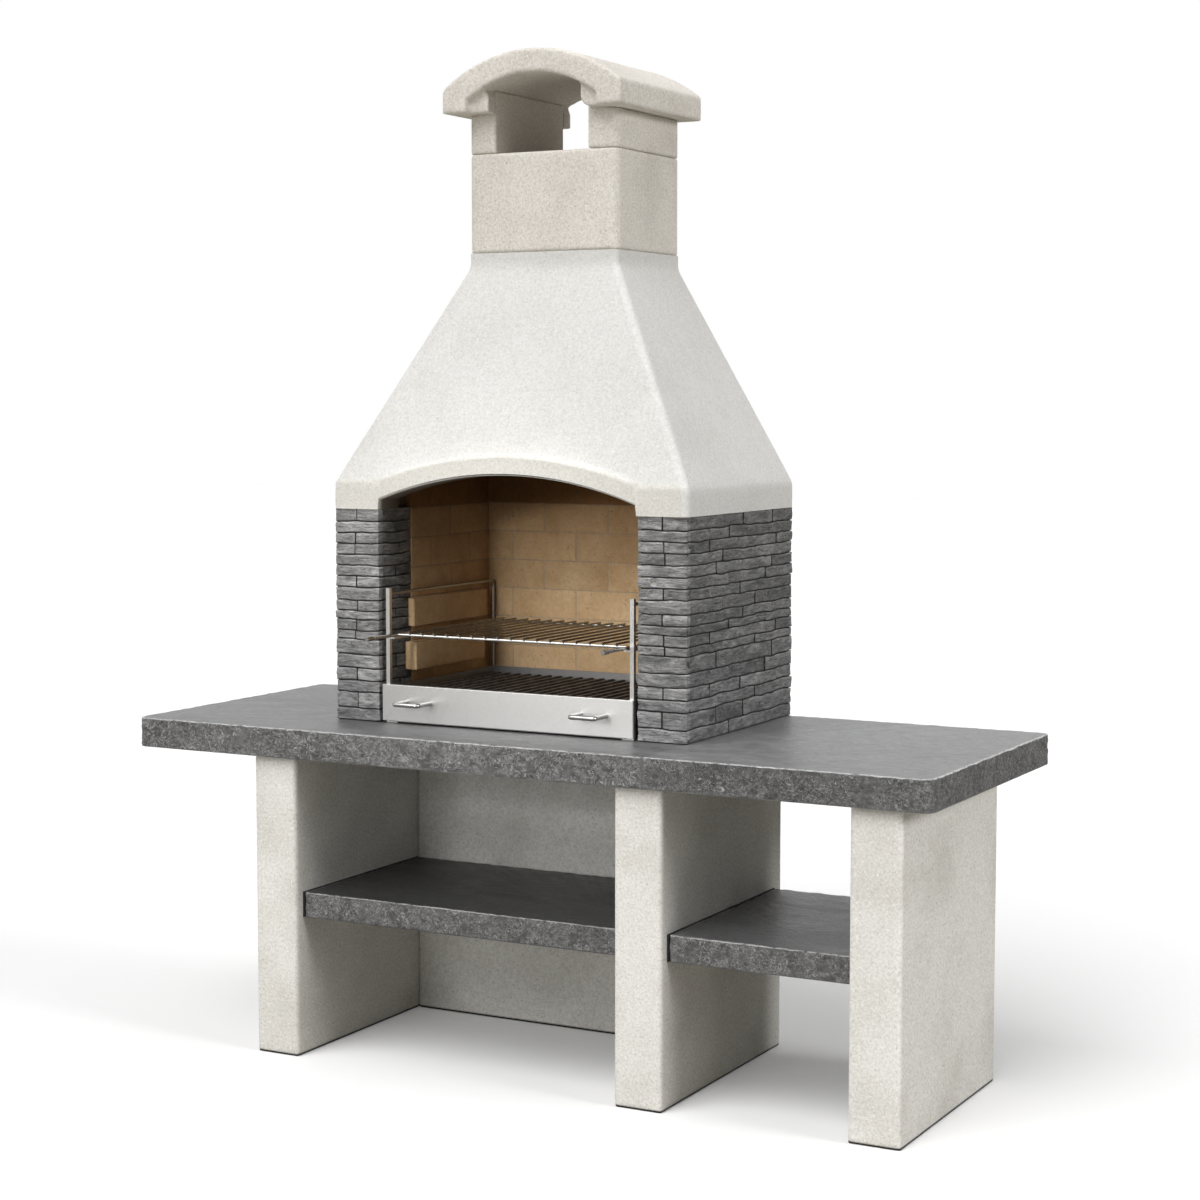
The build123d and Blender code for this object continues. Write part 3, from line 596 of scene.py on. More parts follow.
for node in ("main_shelf", "side_shelf"):
    low, high = corners_of(node)
    for end, start in (
        ("left", low[0] + SHADE_STRIP_INTO_SHELF - SHADE_STRIP_THICK),
        ("right", high[0] - SHADE_STRIP_INTO_SHELF),
    ):
        foot = np.array([start, low[1] + SHADE_STRIP_SET_BACK, low[2] - SHADE_STRIP_PROUD])
        head = (start + SHADE_STRIP_THICK, high[1] - SHADE_STRIP_BACK, high[2] + SHADE_STRIP_PROUD)
        strip, faces, _ = worn_block(foot, head, SHADE_STRIP_ROUND, SHADE_STRIP_STEPS)
        # Each strip is a dark sheet that stands for the shade at the shelf end.
        name = f"{node}_{end}_painted_shade_strip"
        mesh_piece(name, strip, faces, core_finish, "shelf_concrete", "structure")

# The pillars are faced with strips of split slate-grey stone, laid in courses of
# uneven height on dark bed mortar. Each strip has a rough, layered face, worn
# arrises and its own tone, and stands a little further out or in than its neighbours.
# Light and shade are painted on the strips too: the front strips lighter than the side
# strips, each strip lighter along its top and on its proud layers, and darker along
# its foot, in its hollows and where it turns into a joint.
STRIP_STEP = 0.0060
STRIP_HIDDEN_STEP = 0.012
STRIP_ROUND = 0.0026
STRIP_SPLIT = 0.0046
STRIP_WANDER = 0.0042
STRIP_LAYERS = 2.6
BED_BACK = 0.0074
BED_LIFT = 0.0018
BED_END = 0.0030
STRIP_DARK = (0.150, 0.150, 0.151)
STRIP_MID = (0.215, 0.214, 0.215)
STRIP_PALE = (0.310, 0.309, 0.307)
STRIP_SCRATCH = (0.50, 0.498, 0.495)
# Painted light: the front row of strips is set lighter than the side rows.
STRIP_ROW_PAINTED_LIGHT = {"front": 0.48, "side": 0.0}
STRIP_OWN_TONE = 0.46
# A strip this near to the front, the side or the back of its pillar shows there. The
# side strips that begin in the second row run on a little way into the front strips.
FRONT_ROW = 0.012
SIDE_ROW = 0.008
BACK_ROW = 0.004
SECOND_ROW = 0.030
STRIP_LAP = 0.004
FIRST_COURSE = 0.001
BED_THICK = 0.020
BED_FOOT = 0.0002
BED_HEAD = 0.002
BED_EDGE = 0.001
BED_STEPS = (0.2, 0.2, 0.2)


def solid_boxes(node):
    """Lowest and highest corners of each solid box in a node: twelve triangles apiece."""
    mesh = nodes[node].data
    spots_at = np.empty(len(mesh.vertices) * 3)
    mesh.vertices.foreach_get("co", spots_at)
    order = np.empty(len(mesh.loops), int)
    mesh.loops.foreach_get("vertex_index", order)
    corners = spots_at.reshape(-1, 3)[order].reshape(-1, 36, 3)
    return corners.min(axis=1), corners.max(axis=1)


def split_strip(low, high, outer_sides, bed_ends, seed):
    """One strip: a rounded box whose outer faces are broken in steps along flat layers.

    The depth is made of flat wide noise, of the same noise cut into steps, and of the
    ridges between small flake scars. The beds wander up and down with their neighbours.
    """
    step = [STRIP_STEP, STRIP_STEP, STRIP_STEP]
    if len(outer_sides) == 1:
        step[outer_sides[0][0]] = STRIP_HIDDEN_STEP
    points, quads, facing = worn_block(low, high, STRIP_ROUND, step)
    seen = points + seed * 0.37
    wide = layered_noise(seen * (1, 1, 3.6), 0.070, 3, seed)
    steps = STRIP_LAYERS * (wide + 1)
    level = np.floor(steps) + np.clip((steps - np.floor(steps)) * 5 - 2, 0, 1)
    layers = level / STRIP_LAYERS - 1
    scars = 1 - flake_scars(seen, (0.030, 0.030, 0.010), seed + 7)
    rough = layered_noise(seen * (0.6, 0.6, 2.4), 0.016, 3, seed + 13)
    depth = np.clip(0.20 + 0.42 * layers + 0.30 * scars + 0.34 * rough, 0, 1.1)
    outward = [np.clip(facing[:, axis] * sign, 0, 1) for axis, sign in outer_sides]
    for (axis, sign), share in zip(outer_sides, outward):
        points[:, axis] -= sign * STRIP_SPLIT * depth * share
    # Painted shade: a point is marked darker the more its surface turns away from the open face
    # into a joint.
    joint_shade = np.clip((0.86 - np.linalg.norm(outward, axis=0)) / 0.40, 0, 1)
    up = (points[:, 2] - low[2]) / (high[2] - low[2])
    shift = np.zeros(len(points))
    for share, level, free in ((1 - up, low[2], bed_ends[0]), (up, high[2], bed_ends[1])):
        bed = np.column_stack([points[:, :2], np.full(len(points), level)])
        shift += free * share * STRIP_WANDER * layered_noise(bed, 0.055, 3, 17)
    points[:, 2] += shift
    return points, quads, {"dip": depth, "height": up, "joint_shade": joint_shade}


def joined(parts):
    """Several sets of points and faces as one, with the points numbered on."""
    faces, start = [], 0
    for points, own_faces in parts:
        faces += [[start + corner for corner in face] for face in own_faces]
        start += len(points)
    return np.concatenate([points for points, _ in parts]), faces


slate_strips, tree, place = new_finish("split_stone")
body = cloud(tree, place, 17.0, 5.0, 0.6, (0.8, 0.8, 2.2), 0.8)
colour = shades(tree, body, (0.32, STRIP_DARK), (0.50, STRIP_MID), (0.70, STRIP_PALE))
layers = cloud(tree, place, 52.0, 8.0, 0.74, (0.42, 0.42, 2.6), 1.6)
cracks = cloud(tree, place, 20.0, 7.0, 0.66, (0.55, 0.55, 3.0), 1.8)
cracks = shades(tree, cracks, (0.484, 1), (0.50, 0), (0.516, 1))
# The dip and height factors paint light and shade: each strip is darker where its face lies
# deeper and lighter where it stands proud, darker along its foot and lighter along its top.
for amount, factor, stops in (
    (1.0, layers, ((0.36, 0.62), (0.50, 1.0), (0.63, 1.40))),
    (1.0, attribute(tree, "tone"), ((0.0, 0.60), (1.0, 1.70))),
    (1.0, attribute(tree, "dip"), ((0.05, 1.35), (0.45, 1.0), (1.0, 0.60))),
    (0.9, attribute(tree, "height"), ((0.03, 0.62), (0.14, 1.0), (0.80, 1.0), (0.95, 1.55))),
):
    colour = times(tree, colour, shades(tree, factor, *stops), amount)
colour = times(tree, colour, cracks, 0.60)
scratch = cloud(tree, place, 66.0, 4.0, 0.6, (0.7, 0.7, 1.6), 2.0)
scratch = shades(tree, scratch, (0.482, 0), (0.50, 1), (0.518, 0))
patchy = shades(tree, cloud(tree, place, 30.0, 3.0), (0.48, 0), (0.60, 0.8))
colour = laid_over(tree, times(tree, scratch, patchy), colour, STRIP_SCRATCH)
# Painted shade: where the surface turns into a joint it takes the dark core colour.
painted(tree, laid_over(tree, attribute(tree, "joint_shade"), colour, CORE_DARK), 0.72, 0.40)
grain = cloud(tree, place, 200.0, 4.0, 0.7)
relief(tree, (layers, 0.0070, 0.80), (cracks, 0.0024, 0.70), (grain, 0.0010, 0.5))

for side in ("left", "right"):
    node = f"{side}_stone_strips"
    lows, highs = solid_boxes(node)
    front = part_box(node)[0][1]
    left, _, foot = lows.min(axis=0)
    right, rear, top = highs.max(axis=0)
    strips, carried_by_strips = [], []
    for number, (low, high) in enumerate(zip(lows, highs)):
        beyond = 1 if low[0] + high[0] > left + right else -1
        at_front = low[1] < front + FRONT_ROW
        outer_sides = [(0, beyond)]
        if at_front:
            outer_sides = [(1, -1)]
            outer_sides += [(0, -1)] * bool(low[0] - left < SIDE_ROW)
            outer_sides += [(0, 1)] * bool(right - high[0] < SIDE_ROW)
        outer_sides += [(1, 1)] * bool(rear - high[1] < BACK_ROW)
        bed_ends = (low[2] > foot + FIRST_COURSE, high[2] < top - FIRST_COURSE)
        low, high = low + (0, 0, 0 if bed_ends[0] else BED_LIFT), high.copy()
        if not at_front and low[1] < front + SECOND_ROW:
            low[1] -= STRIP_LAP
        if at_front:
            low[1] -= (low[1] - front) / 2
        elif beyond > 0:
            high[0] += (right - high[0]) / 2
        else:
            low[0] -= (low[0] - left) / 2
        seed = number * 3 + (500 if side == "right" else 0)
        strip, faces, carried = split_strip(low, high, outer_sides, bed_ends, seed)
        tone = STRIP_OWN_TONE * lattice(np.array([[number, 3.0, 5.0]]), seed)[0]
        # The front strips get painted light on top of their own tone.
        tone += STRIP_ROW_PAINTED_LIGHT["front" if at_front else "side"]
        carried["tone"] = np.full(len(strip), tone)
        strips.append((strip, faces))
        carried_by_strips.append(carried)
    tones = {key: np.concatenate([some[key] for some in carried_by_strips]) for key in carried}
    name, (points, faces) = f"{side}_split_stones", joined(strips)
    mesh_piece(
        name, points, faces, slate_strips, "split_stone", "structure", (node,), tones, 60.0
    )
    low, high = corners_of(node)
    ends = (low[0] + BED_END, high[0] - BED_BACK)
    outer = (low[0] + BED_BACK, low[0] + BED_THICK)
    if side == "right":
        ends = (low[0] + BED_BACK, high[0] - BED_END)
        outer = (high[0] - BED_THICK, high[0] - BED_BACK)
    beds = [
        block_surface(
            (x_low, low[1] + BED_BACK, low[2] + BED_FOOT),
            (x_high, y_high, high[2] - BED_HEAD),
            BED_EDGE,
            BED_STEPS,
        )
        for (x_low, x_high), y_high in ((ends, low[1] + BED_THICK), (outer, high[1] - BED_END))
    ]
    mesh_piece(f"{side}_bed_mortar", *joined(beds), core_finish, "split_stone", "structure")

# The fire chamber is lined with buff firebricks in running bond, with sandy joints.
# They darken towards the hood, partly soot and partly painted shade, with a painted step of
# shade at the hood's lower edge, and two ledge bricks stand out on each side.
BRICK_ROUND = 0.0016
BRICK_STEPS = (0.020, 0.020, 0.020)
BRICK_WEAR = 0.0004
LEDGE_EDGE = 0.002
LEDGE_ROUND = 0.0018
LEDGE_TONE = 0.6
BRICK_BUFF = (0.66, 0.455, 0.255)
BRICK_PALE = (0.74, 0.535, 0.320)
BRICK_DARK = (0.57, 0.375, 0.195)
BRICK_SPECK = (0.34, 0.19, 0.09)
# A tint of soot and painted shade for the bricks up inside the hood.
BRICK_SOOT_AND_SHADE = (0.26, 0.185, 0.115)
SOOT_AND_SHADE_HEIGHTS = (1.02, 1.36)
MORTAR_SAND = (0.56, 0.42, 0.28)
MORTAR_DEPTH = 0.0011
MORTAR_EDGE = 0.002


def soot_and_painted_shade(tree, coordinates):
    """From white low down to a tint of soot and painted shade near the hood, by the height
    alone, with a step darker at the hood's lower edge.
    """
    span = tree.nodes.new("ShaderNodeMapRange")
    span.inputs["From Min"].default_value = SOOT_AND_SHADE_HEIGHTS[0]
    span.inputs["From Max"].default_value = SOOT_AND_SHADE_HEIGHTS[1]
    tree.links.new(along(tree, coordinates, "Z"), span.inputs["Value"])
    half_way = tuple(0.35 + 0.65 * value for value in BRICK_SOOT_AND_SHADE)
    return shades(tree, span.outputs["Result"], (0.0, 1), (0.79, half_way), (0.80, BRICK_SOOT_AND_SHADE))


firebrick, tree, place = new_finish("firebrick")
body = cloud(tree, place, 11.0, 5.0, 0.6)
brick_tone = shades(tree, body, (0.3, BRICK_DARK), (0.5, BRICK_BUFF), (0.72, BRICK_PALE))
own_tone = shades(tree, attribute(tree, "tone"), (0.0, (0.92, 0.91, 0.90)), (1.0, 1.06))
brick_tone = times(tree, brick_tone, own_tone)
brick_tone = laid_over(tree, spots(tree, place, 170.0, 0.64, 0.72), brick_tone, BRICK_SPECK)
fine = shades(tree, cloud(tree, place, 120.0, 4.0, 0.8), (0.35, 0.90), (0.62, 1.05))
brick_tone = times(tree, brick_tone, fine)
# The bricks take soot and painted shade towards the hood.
painted(tree, times(tree, brick_tone, soot_and_painted_shade(tree, place)), 0.9, 0.2)
relief(tree, (cloud(tree, place, 180.0, 4.0, 0.7), 0.0012, 0.5))

mortar, tree, place = new_finish("lining_mortar")
mortar_dark = tuple(0.75 * value for value in MORTAR_SAND)
joint_tone = shades(tree, cloud(tree, place, 60.0), (0.3, mortar_dark), (0.7, MORTAR_SAND))
# The joints take the same soot and painted shade.
painted(tree, times(tree, joint_tone, soot_and_painted_shade(tree, place)), 0.95)

for name in ("rear_lining", "left_lining", "right_lining"):
    bricks, tones = [], []
    for number, (low, high) in enumerate(zip(*solid_boxes(name))):
        brick, faces, facing = worn_block(low, high, BRICK_ROUND, BRICK_STEPS)
        brick -= facing * BRICK_WEAR * (1 + layered_noise(brick, 0.02, 2, number))[:, None]
        bricks.append((brick, faces))
        tones.append(np.full(len(brick), lattice(np.array([[number, 1.0, 9.0]]), 4)[0]))
    tones = {"tone": np.concatenate(tones)}
    points, faces = joined(bricks)
    mesh_piece(
        f"{name}_bricks", points, faces, firebrick, "firebrick", "structure", (name,), tones
    )
    low, high = corners_of(name)
    thin = int(np.argmin(high - low))
    low += 2 * MORTAR_DEPTH
    high -= 2 * MORTAR_DEPTH
    low[thin] -= MORTAR_DEPTH
    high[thin] += MORTAR_DEPTH
    fill, faces = block_surface(low, high, MORTAR_EDGE, BED_STEPS)
    mesh_piece(f"{name}_mortar", fill, faces, mortar, "firebrick", "structure")

for place in ("left_upper", "left_lower", "right_upper", "right_lower"):
    name = f"{place}_ledge_brick"
    low, high = corners_of(name)
    brick, faces, _ = worn_block(low, high, LEDGE_ROUND, BRICK_STEPS, LEDGE_EDGE)
    tones = {"tone": np.full(len(brick), LEDGE_TONE)}
    mesh_piece(f"{name}_worn", brick, faces, firebrick, "firebrick", "structure", (name,), tones)

# The hood is one hollow casting of near-white concrete. A short upright band sits on
# the pillars, the sides slope in and flare into a neck, and the mouth is a flat arch
# whose fascia stands out from the sloping front.
HOOD_BAND = 0.060
HOOD_FLARE = 0.020
HOOD_NECK = 0.024
HOOD_CORNER = 0.018
HOOD_ARRIS = 0.004
ARCH_HALF = 0.344
ARCH_JAMB = 0.022
ARCH_RISE = 0.063
FASCIA_WIDTH = 0.040
FASCIA_SOFT = 0.013
HOOD_WALL = 0.090
MOUTH_TOP = 0.160
HOOD_PALE = (0.757, 0.751, 0.728)
HOOD_DULL = (0.705, 0.698, 0.672)
HOOD_CHIP = (0.46, 0.40, 0.33)
# Painted shade: the upright fascia is tinted a little darker and warmer than the sloping front,
# which gets more light from above.
FASCIA_PAINTED_SHADE = (1.0, 0.985, 0.950)
# A dark brown for the inside of the hood, soot and painted shade, and how far in from the
# mouth's front edge it begins.
HOOD_SOOT_AND_SHADE = (0.105, 0.080, 0.058)
SOOT_AND_SHADE_START = 0.20
# How many points lie across each part of a level of the hood, and how many levels.
MOUTH_POINTS = 46
JAMB_POINTS = 14
SIDE_POINTS = 30
BACK_POINTS = 48
MOUTH_LEVELS = 34
SLOPE_LEVELS = 66
FLUE_LEVELS = 16
FLUE_WALL = 0.060
FLUE_CORNER = 0.004
FLUE_PLAY = 0.004
ARCH_EDGE = 0.001
BAND_SOFT = 0.008
BAND_EASE = 0.0005
# How far the ring just behind the mouth's edge is darkened with soot and painted shade.
MOUTH_SOOT_AND_SHADE = 0.82
FASCIA_DEPTH = 0.004
HOOD_CHIPS = 0.36
hood_low, hood_high = corners_of("hood")
block_low, block_high = corners_of("chimney_block")
brick_half = (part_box("right_lining")[1][0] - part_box("left_lining")[0][0]) / 2
hood_x = (hood_low[0] + hood_high[0]) / 2
hood_half = (hood_high[0] - hood_low[0]) / 2
neck_half = (block_high[0] - block_low[0]) / 2
band_top = hood_low[2] + HOOD_BAND
arch_radius = (ARCH_HALF**2 + ARCH_RISE**2) / (2 * ARCH_RISE)
arch_z = hood_low[2] + ARCH_JAMB + ARCH_RISE - arch_radius


def inward(z):
    """Share of the way in at a height: 0 on the band, a straight slope, then the flare."""
    top = hood_high[2] - HOOD_NECK
    start = top - HOOD_FLARE
    run = start - band_top + HOOD_FLARE / 2
    rise = np.clip(z - start, 0, HOOD_FLARE)
    straight = z - band_top
    straight = 0.5 * (straight + np.sqrt(straight**2 + BAND_SOFT**2)) - BAND_EASE
    share = (np.minimum(straight, top - band_top) - rise**2 / (2 * HOOD_FLARE)) / run
    return np.clip(share, 0, 1)


def front_y(x, z):
    """Depth of the front face: the fascia plane under its arched edge, the slope above it."""
    fascia_edge = arch_z + np.sqrt(
        np.maximum((arch_radius + FASCIA_WIDTH) ** 2 - (x - hood_x) ** 2, 0)
    )
    edge = np.maximum(fascia_edge, band_top)
    slope = hood_low[1] + (block_low[1] - hood_low[1]) * inward(z)
    blend = smooth_step((z - edge) / FASCIA_SOFT)
    return hood_low[1] + (slope - hood_low[1]) * blend


jamb_half = hood_half - HOOD_CORNER
front_share = np.concatenate(
    [
        np.linspace(0, ARCH_HALF - 3 * ARCH_EDGE, MOUTH_POINTS),
        np.linspace(ARCH_HALF, jamb_half, JAMB_POINTS),
    ]
) / jamb_half
front_share = np.concatenate([-front_share[:0:-1], front_share])
turn = np.linspace(0, np.pi / 2, 8)[1:-1]
side_share = np.linspace(0, 1, SIDE_POINTS)
back_share = np.linspace(1, -1, BACK_POINTS)


def hood_ring(x, z, half, front, back, radius):
    """Points round one level: front, right corner, right side, back, left side.

    x, z and front hold one value for each point of the front. Behind the front the
    level runs flat, half the width to either side, round corners of the radius.
    """
    ring = [np.column_stack([x, front, z])]

    def add(x, y):
        ring.append(np.column_stack([x, y, np.full(len(x), z[-1])]))

    near = front[-1] + radius
    far = back - radius
    side_y = near + (far - near) * side_share
    reach = half - radius
    add(hood_x + reach + radius * np.sin(turn), near - radius * np.cos(turn))
    add(np.full(SIDE_POINTS, hood_x + half), side_y)
    add(hood_x + reach + radius * np.cos(turn), far + radius * np.sin(turn))
    add(hood_x + back_share * reach, np.full(BACK_POINTS, back))
    add(hood_x - reach - radius * np.sin(turn), far + radius * np.cos(turn))
    add(np.full(SIDE_POINTS, hood_x - half), side_y[::-1])
    add(hood_x - reach - radius * np.cos(turn), near - radius * np.sin(turn))
    return np.concatenate(ring)


def mouth_edge(x):
    """Height of the lowest edge of the front at each x: the arch inside, the bed outside."""
    inside = np.abs(x - hood_x) < ARCH_HALF - ARCH_EDGE
    arch = arch_z + np.sqrt(arch_radius**2 - np.clip(x - hood_x, -ARCH_HALF, ARCH_HALF) ** 2)
    return np.where(inside, arch, hood_low[2])


def outer_half(z):
    """Half the width of the hood at a height."""
    return hood_half + (neck_half - hood_half) * inward(z)


def outer_ring(x, z):
    """One level of the outside: its front as given, its back as far in as its sides."""
    back = hood_high[1] + (block_high[1] - hood_high[1]) * inward(z[-1])
    return hood_ring(x, z, outer_half(z[-1]), front_y(x, z), back, HOOD_CORNER)


mouth_top = hood_low[2] + MOUTH_TOP
mouth_x = hood_x + front_share * jamb_half
rings = []
for share in np.linspace(0, 1, MOUTH_LEVELS):
    x = mouth_x
    for _ in range(4):
        z = mouth_edge(x) + (mouth_top - mouth_edge(x)) * share
        x = hood_x + front_share * (outer_half(z) - HOOD_CORNER)
    rings.append(outer_ring(x, z))
inset = rings[0].copy()
inset[: len(front_share), 1] += HOOD_ARRIS
in_mouth = np.abs(front_share) * jamb_half < ARCH_HALF - ARCH_EDGE
rings[0][: len(front_share), 2] += HOOD_ARRIS * in_mouth
rings.insert(0, inset)
for share in np.linspace(0, 1, SLOPE_LEVELS)[1:]:
    z = np.full(len(front_share), mouth_top + (hood_high[2] - mouth_top) * share)
    x = hood_x + front_share * (outer_half(z) - HOOD_CORNER)
    rings.append(outer_ring(x, z))
outer_count = len(rings)
lining_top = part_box("rear_lining")[1][2]
reach = np.interp(
    np.abs(mouth_x - hood_x),
    [0, ARCH_HALF, jamb_half],
    [0, ARCH_HALF, brick_half - FLUE_PLAY],
) * np.sign(mouth_x - hood_x)
for share in np.linspace(1, 0, FLUE_LEVELS):
    z = mouth_edge(mouth_x) + (hood_high[2] - mouth_edge(mouth_x)) * share
    narrowing = np.clip((z - lining_top) / (hood_high[2] - lining_top), 0, 1)
    half = brick_half + (neck_half - FLUE_WALL - brick_half) * narrowing
    front = hood_low[1] + HOOD_WALL
    front = front + (block_low[1] + FLUE_WALL - front) * narrowing
    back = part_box("rear_lining")[1][1]
    back = back + (block_high[1] - FLUE_WALL - back) * narrowing[-1]
    x = hood_x + reach * half / brick_half
    rings.append(hood_ring(x, z, half[-1], front, back, FLUE_CORNER))
rings.append(inset + (rings[-1] - inset) * SOOT_AND_SHADE_START)
ring_count = len(inset)
ring_pairs = [(i, i + 1) for i in range(len(rings) - 1)] + [(len(rings) - 1, 0)]
hood_points = np.concatenate(rings)
on_front = np.tile(np.arange(ring_count) < len(front_share), len(rings))
# Where the painted shade of the fascia is laid.
fascia_shade_mask = 1.0 * (on_front & (np.abs(hood_points[:, 1] - hood_low[1]) < FASCIA_DEPTH))
# Soot and painted shade: the inside of the hood is darkened to a dark brown, partly soot and
# partly the shade that falls there, and the ring just behind the mouth's front edge most of the
# way.
inner_soot_and_shade = np.zeros(len(hood_points))
inner_soot_and_shade[outer_count * ring_count :] = 1.0
inner_soot_and_shade[-ring_count:] = MOUTH_SOOT_AND_SHADE
hood_concrete = cast_concrete("hood_concrete", HOOD_PALE, HOOD_DULL, HOOD_CHIP, HOOD_CHIPS)
tree = hood_concrete.node_tree
base, bare = painted_so_far(tree)
# Painted shade on the fascia.
fascia_shaded = times(tree, bare, shades(tree, attribute(tree, "fascia"), (0, 1), (1, FASCIA_PAINTED_SHADE)))
# The inside takes its soot and painted shade.
tree.links.new(laid_over(tree, attribute(tree, "smoked_and_shaded"), fascia_shaded, HOOD_SOOT_AND_SHADE), base)
mesh_piece(
    "hood_shell",
    hood_points,
    ring_quads(ring_count, ring_pairs),
    hood_concrete,
    "hood_concrete",
    "structure",
    ("hood",),
    {"fascia": fascia_shade_mask, "smoked_and_shaded": inner_soot_and_shade},
    32.0,
)

# The chimney block, the two cowl blocks and the vaulted cowl roof are cast from a
# slightly pink concrete and stacked dry. The roof's lugs lock it on the blocks.
CHIMNEY_PALE = (0.795, 0.757, 0.700)
CHIMNEY_DULL = (0.685, 0.648, 0.593)
CHIMNEY_CHIP = (0.33, 0.25, 0.20)
CHIMNEY_WEAR = (0.0042, 5)
chimney_concrete = cast_concrete("chimney_concrete", CHIMNEY_PALE, CHIMNEY_DULL, CHIMNEY_CHIP)
for name in ("chimney_block", "left_cowl_block", "right_cowl_block", "cowl_roof"):
    soften_casting(name, chimney_concrete, *CHIMNEY_WEAR)

# The side frames are welded from stainless bar and rod. A square post stands in
# front, a round rod runs back from it and bends down behind, and flat bars make the
# rail of the cooking grill and the runner of the tray.
ROD_SIDES = 14
STEEL = (0.62, 0.615, 0.60)
ROD_STEEL = (0.40, 0.39, 0.37)
ROD_BEND = 0.014


def brushed(name, colour, roughness, grain):
    """Brushed stainless: fine lines in one direction stir the gloss and the tone."""
    material, tree, place = new_finish(name)
    lines = cloud(tree, place, 90.0, 4.0, 0.7, grain)
    dark, bright = (tuple(share * value for value in colour) for share in (0.86, 1.08))
    tone = shades(tree, lines, (0.3, dark), (0.7, bright))
    matt = shades(tree, lines, (0.3, roughness * 0.8), (0.7, roughness * 1.25))
    painted(tree, tone, matt, metal=1.0)
    relief(tree, (lines, 0.0002, 0.25))
    return material


def rod_along(path, radius, sides=ROD_SIDES):
    """A closed round rod along a path: a circle carried square to the path, flat ends.

    The circle's first direction is square to the path and to the axis least along it.
    """
    path = np.asarray(path, float)
    tangent = np.gradient(path, axis=0)
    tangent /= np.linalg.norm(tangent, axis=1, keepdims=True)
    fixed = np.eye(3)[np.argmin(np.abs(tangent).max(axis=0))]
    across = np.cross(tangent, fixed)
    across /= np.linalg.norm(across, axis=1, keepdims=True)
    other = np.cross(tangent, across)
    angle = np.linspace(0, 2 * np.pi, sides, endpoint=False)
    circle = (
        across[:, None, :] * np.cos(angle)[None, :, None]
        + other[:, None, :] * np.sin(angle)[None, :, None]
    )
    points = (path[:, None, :] + radius * circle).reshape(-1, 3)
    return points, capped_rings(sides, len(path))


def bent(corners, radius, steps=8):
    """A path of straight runs whose corners are quarter arcs of one radius."""
    corners = np.asarray(corners, float)
    path = [corners[0]]
    for before, corner, after in zip(corners, corners[1:], corners[2:]):
        back = (before - corner) / np.linalg.norm(before - corner)
        on = (after - corner) / np.linalg.norm(after - corner)
        centre = corner + (back + on) * radius
        for t in np.linspace(0, np.pi / 2, steps):
            path.append(centre - on * radius * np.cos(t) - back * radius * np.sin(t))
    path.append(corners[-1])
    return np.array(path)


def solid_faces(points, faces):
    """Turn every face outwards, whichever way the circle ran."""
    mesh = bpy.data.meshes.new("turned")
    mesh.from_pydata(points.tolist(), [], [list(face) for face in faces])
    work = bmesh.new()
    work.from_mesh(mesh)
    bmesh.ops.recalc_face_normals(work, faces=work.faces)
    turned = [[v.index for v in face.verts] for face in work.faces]
    work.free()
    bpy.data.meshes.remove(mesh)
    return turned


def steel_piece(name, parts, material, slot, body, node):
    """Make one piece of rods or sheets in place of a CAD node."""
    points, faces = joined(parts)
    mesh_piece(name, points, solid_faces(points, faces), material, slot, body, (node,))


frame_steel = brushed("frame_steel", STEEL, 0.30, (14.0, 14.0, 1.0))
bar_steel = brushed("bar_steel", STEEL, 0.32, (14.0, 1.0, 14.0))
rod_steel = brushed("rod_steel", ROD_STEEL, 0.30, (10.0, 1.0, 10.0))
for side in ("left", "right"):
    finish_node(f"{side}_front_post", frame_steel)
    finish_node(f"{side}_grill_rail", bar_steel)
    finish_node(f"{side}_tray_runner", bar_steel)
    node = f"{side}_frame_rod"
    low, high = corners_of(node)
    radius = (high[0] - low[0]) / 2
    x, y, z = (low[0] + high[0]) / 2, high[1] - radius, high[2] - radius
    path = bent([(x, low[1], z), (x, y, z), (x, y, low[2])], ROD_BEND)
    rods = [rod_along(path, radius)]
    steel_piece(f"{side}_bent_rod", rods, rod_steel, "stainless_sheet", "structure", node)
finish_node("frame_cross_bar", bar_steel)

# The charcoal tray is folded from brushed stainless sheet. Its front panel has
# narrow returns, its pan is open above, and two bow handles are bolted through it.
PANEL_STEEL = (0.57, 0.566, 0.555)
PAN_STEEL = (0.25, 0.243, 0.235)
HANDLE_STEEL = (0.47, 0.465, 0.455)
HANDLE_SWELL = 0.0013
HANDLE_BEND = 0.006
BOLT_RADIUS = 0.0025
SHEET = 0.002
FOLD = 0.003
# The sheet's edges are eased, and its top fold is a lid that stands clear of its sides.
SHEET_EASE = 0.0004
SHEET_EASE_RISE = 0.0005
LID_CLEAR = (0.0012, 0.0004)
LID_ROUND = 0.0009
LID_EDGE = 0.0006
LID_STEPS = (0.05, 0.003, 0.001)
panel_steel = brushed("panel_steel", PANEL_STEEL, 0.42, (1.0, 14.0, 14.0))
pan_steel = brushed("pan_steel", PAN_STEEL, 0.42, (1.0, 6.0, 14.0))
handle_steel = brushed("handle_steel", HANDLE_STEEL, 0.17, (1.0, 8.0, 8.0))
finish_node("tray_pan", pan_steel)
finish_node("tray_lugs", pan_steel)
finish_node("handle_nuts", handle_steel)


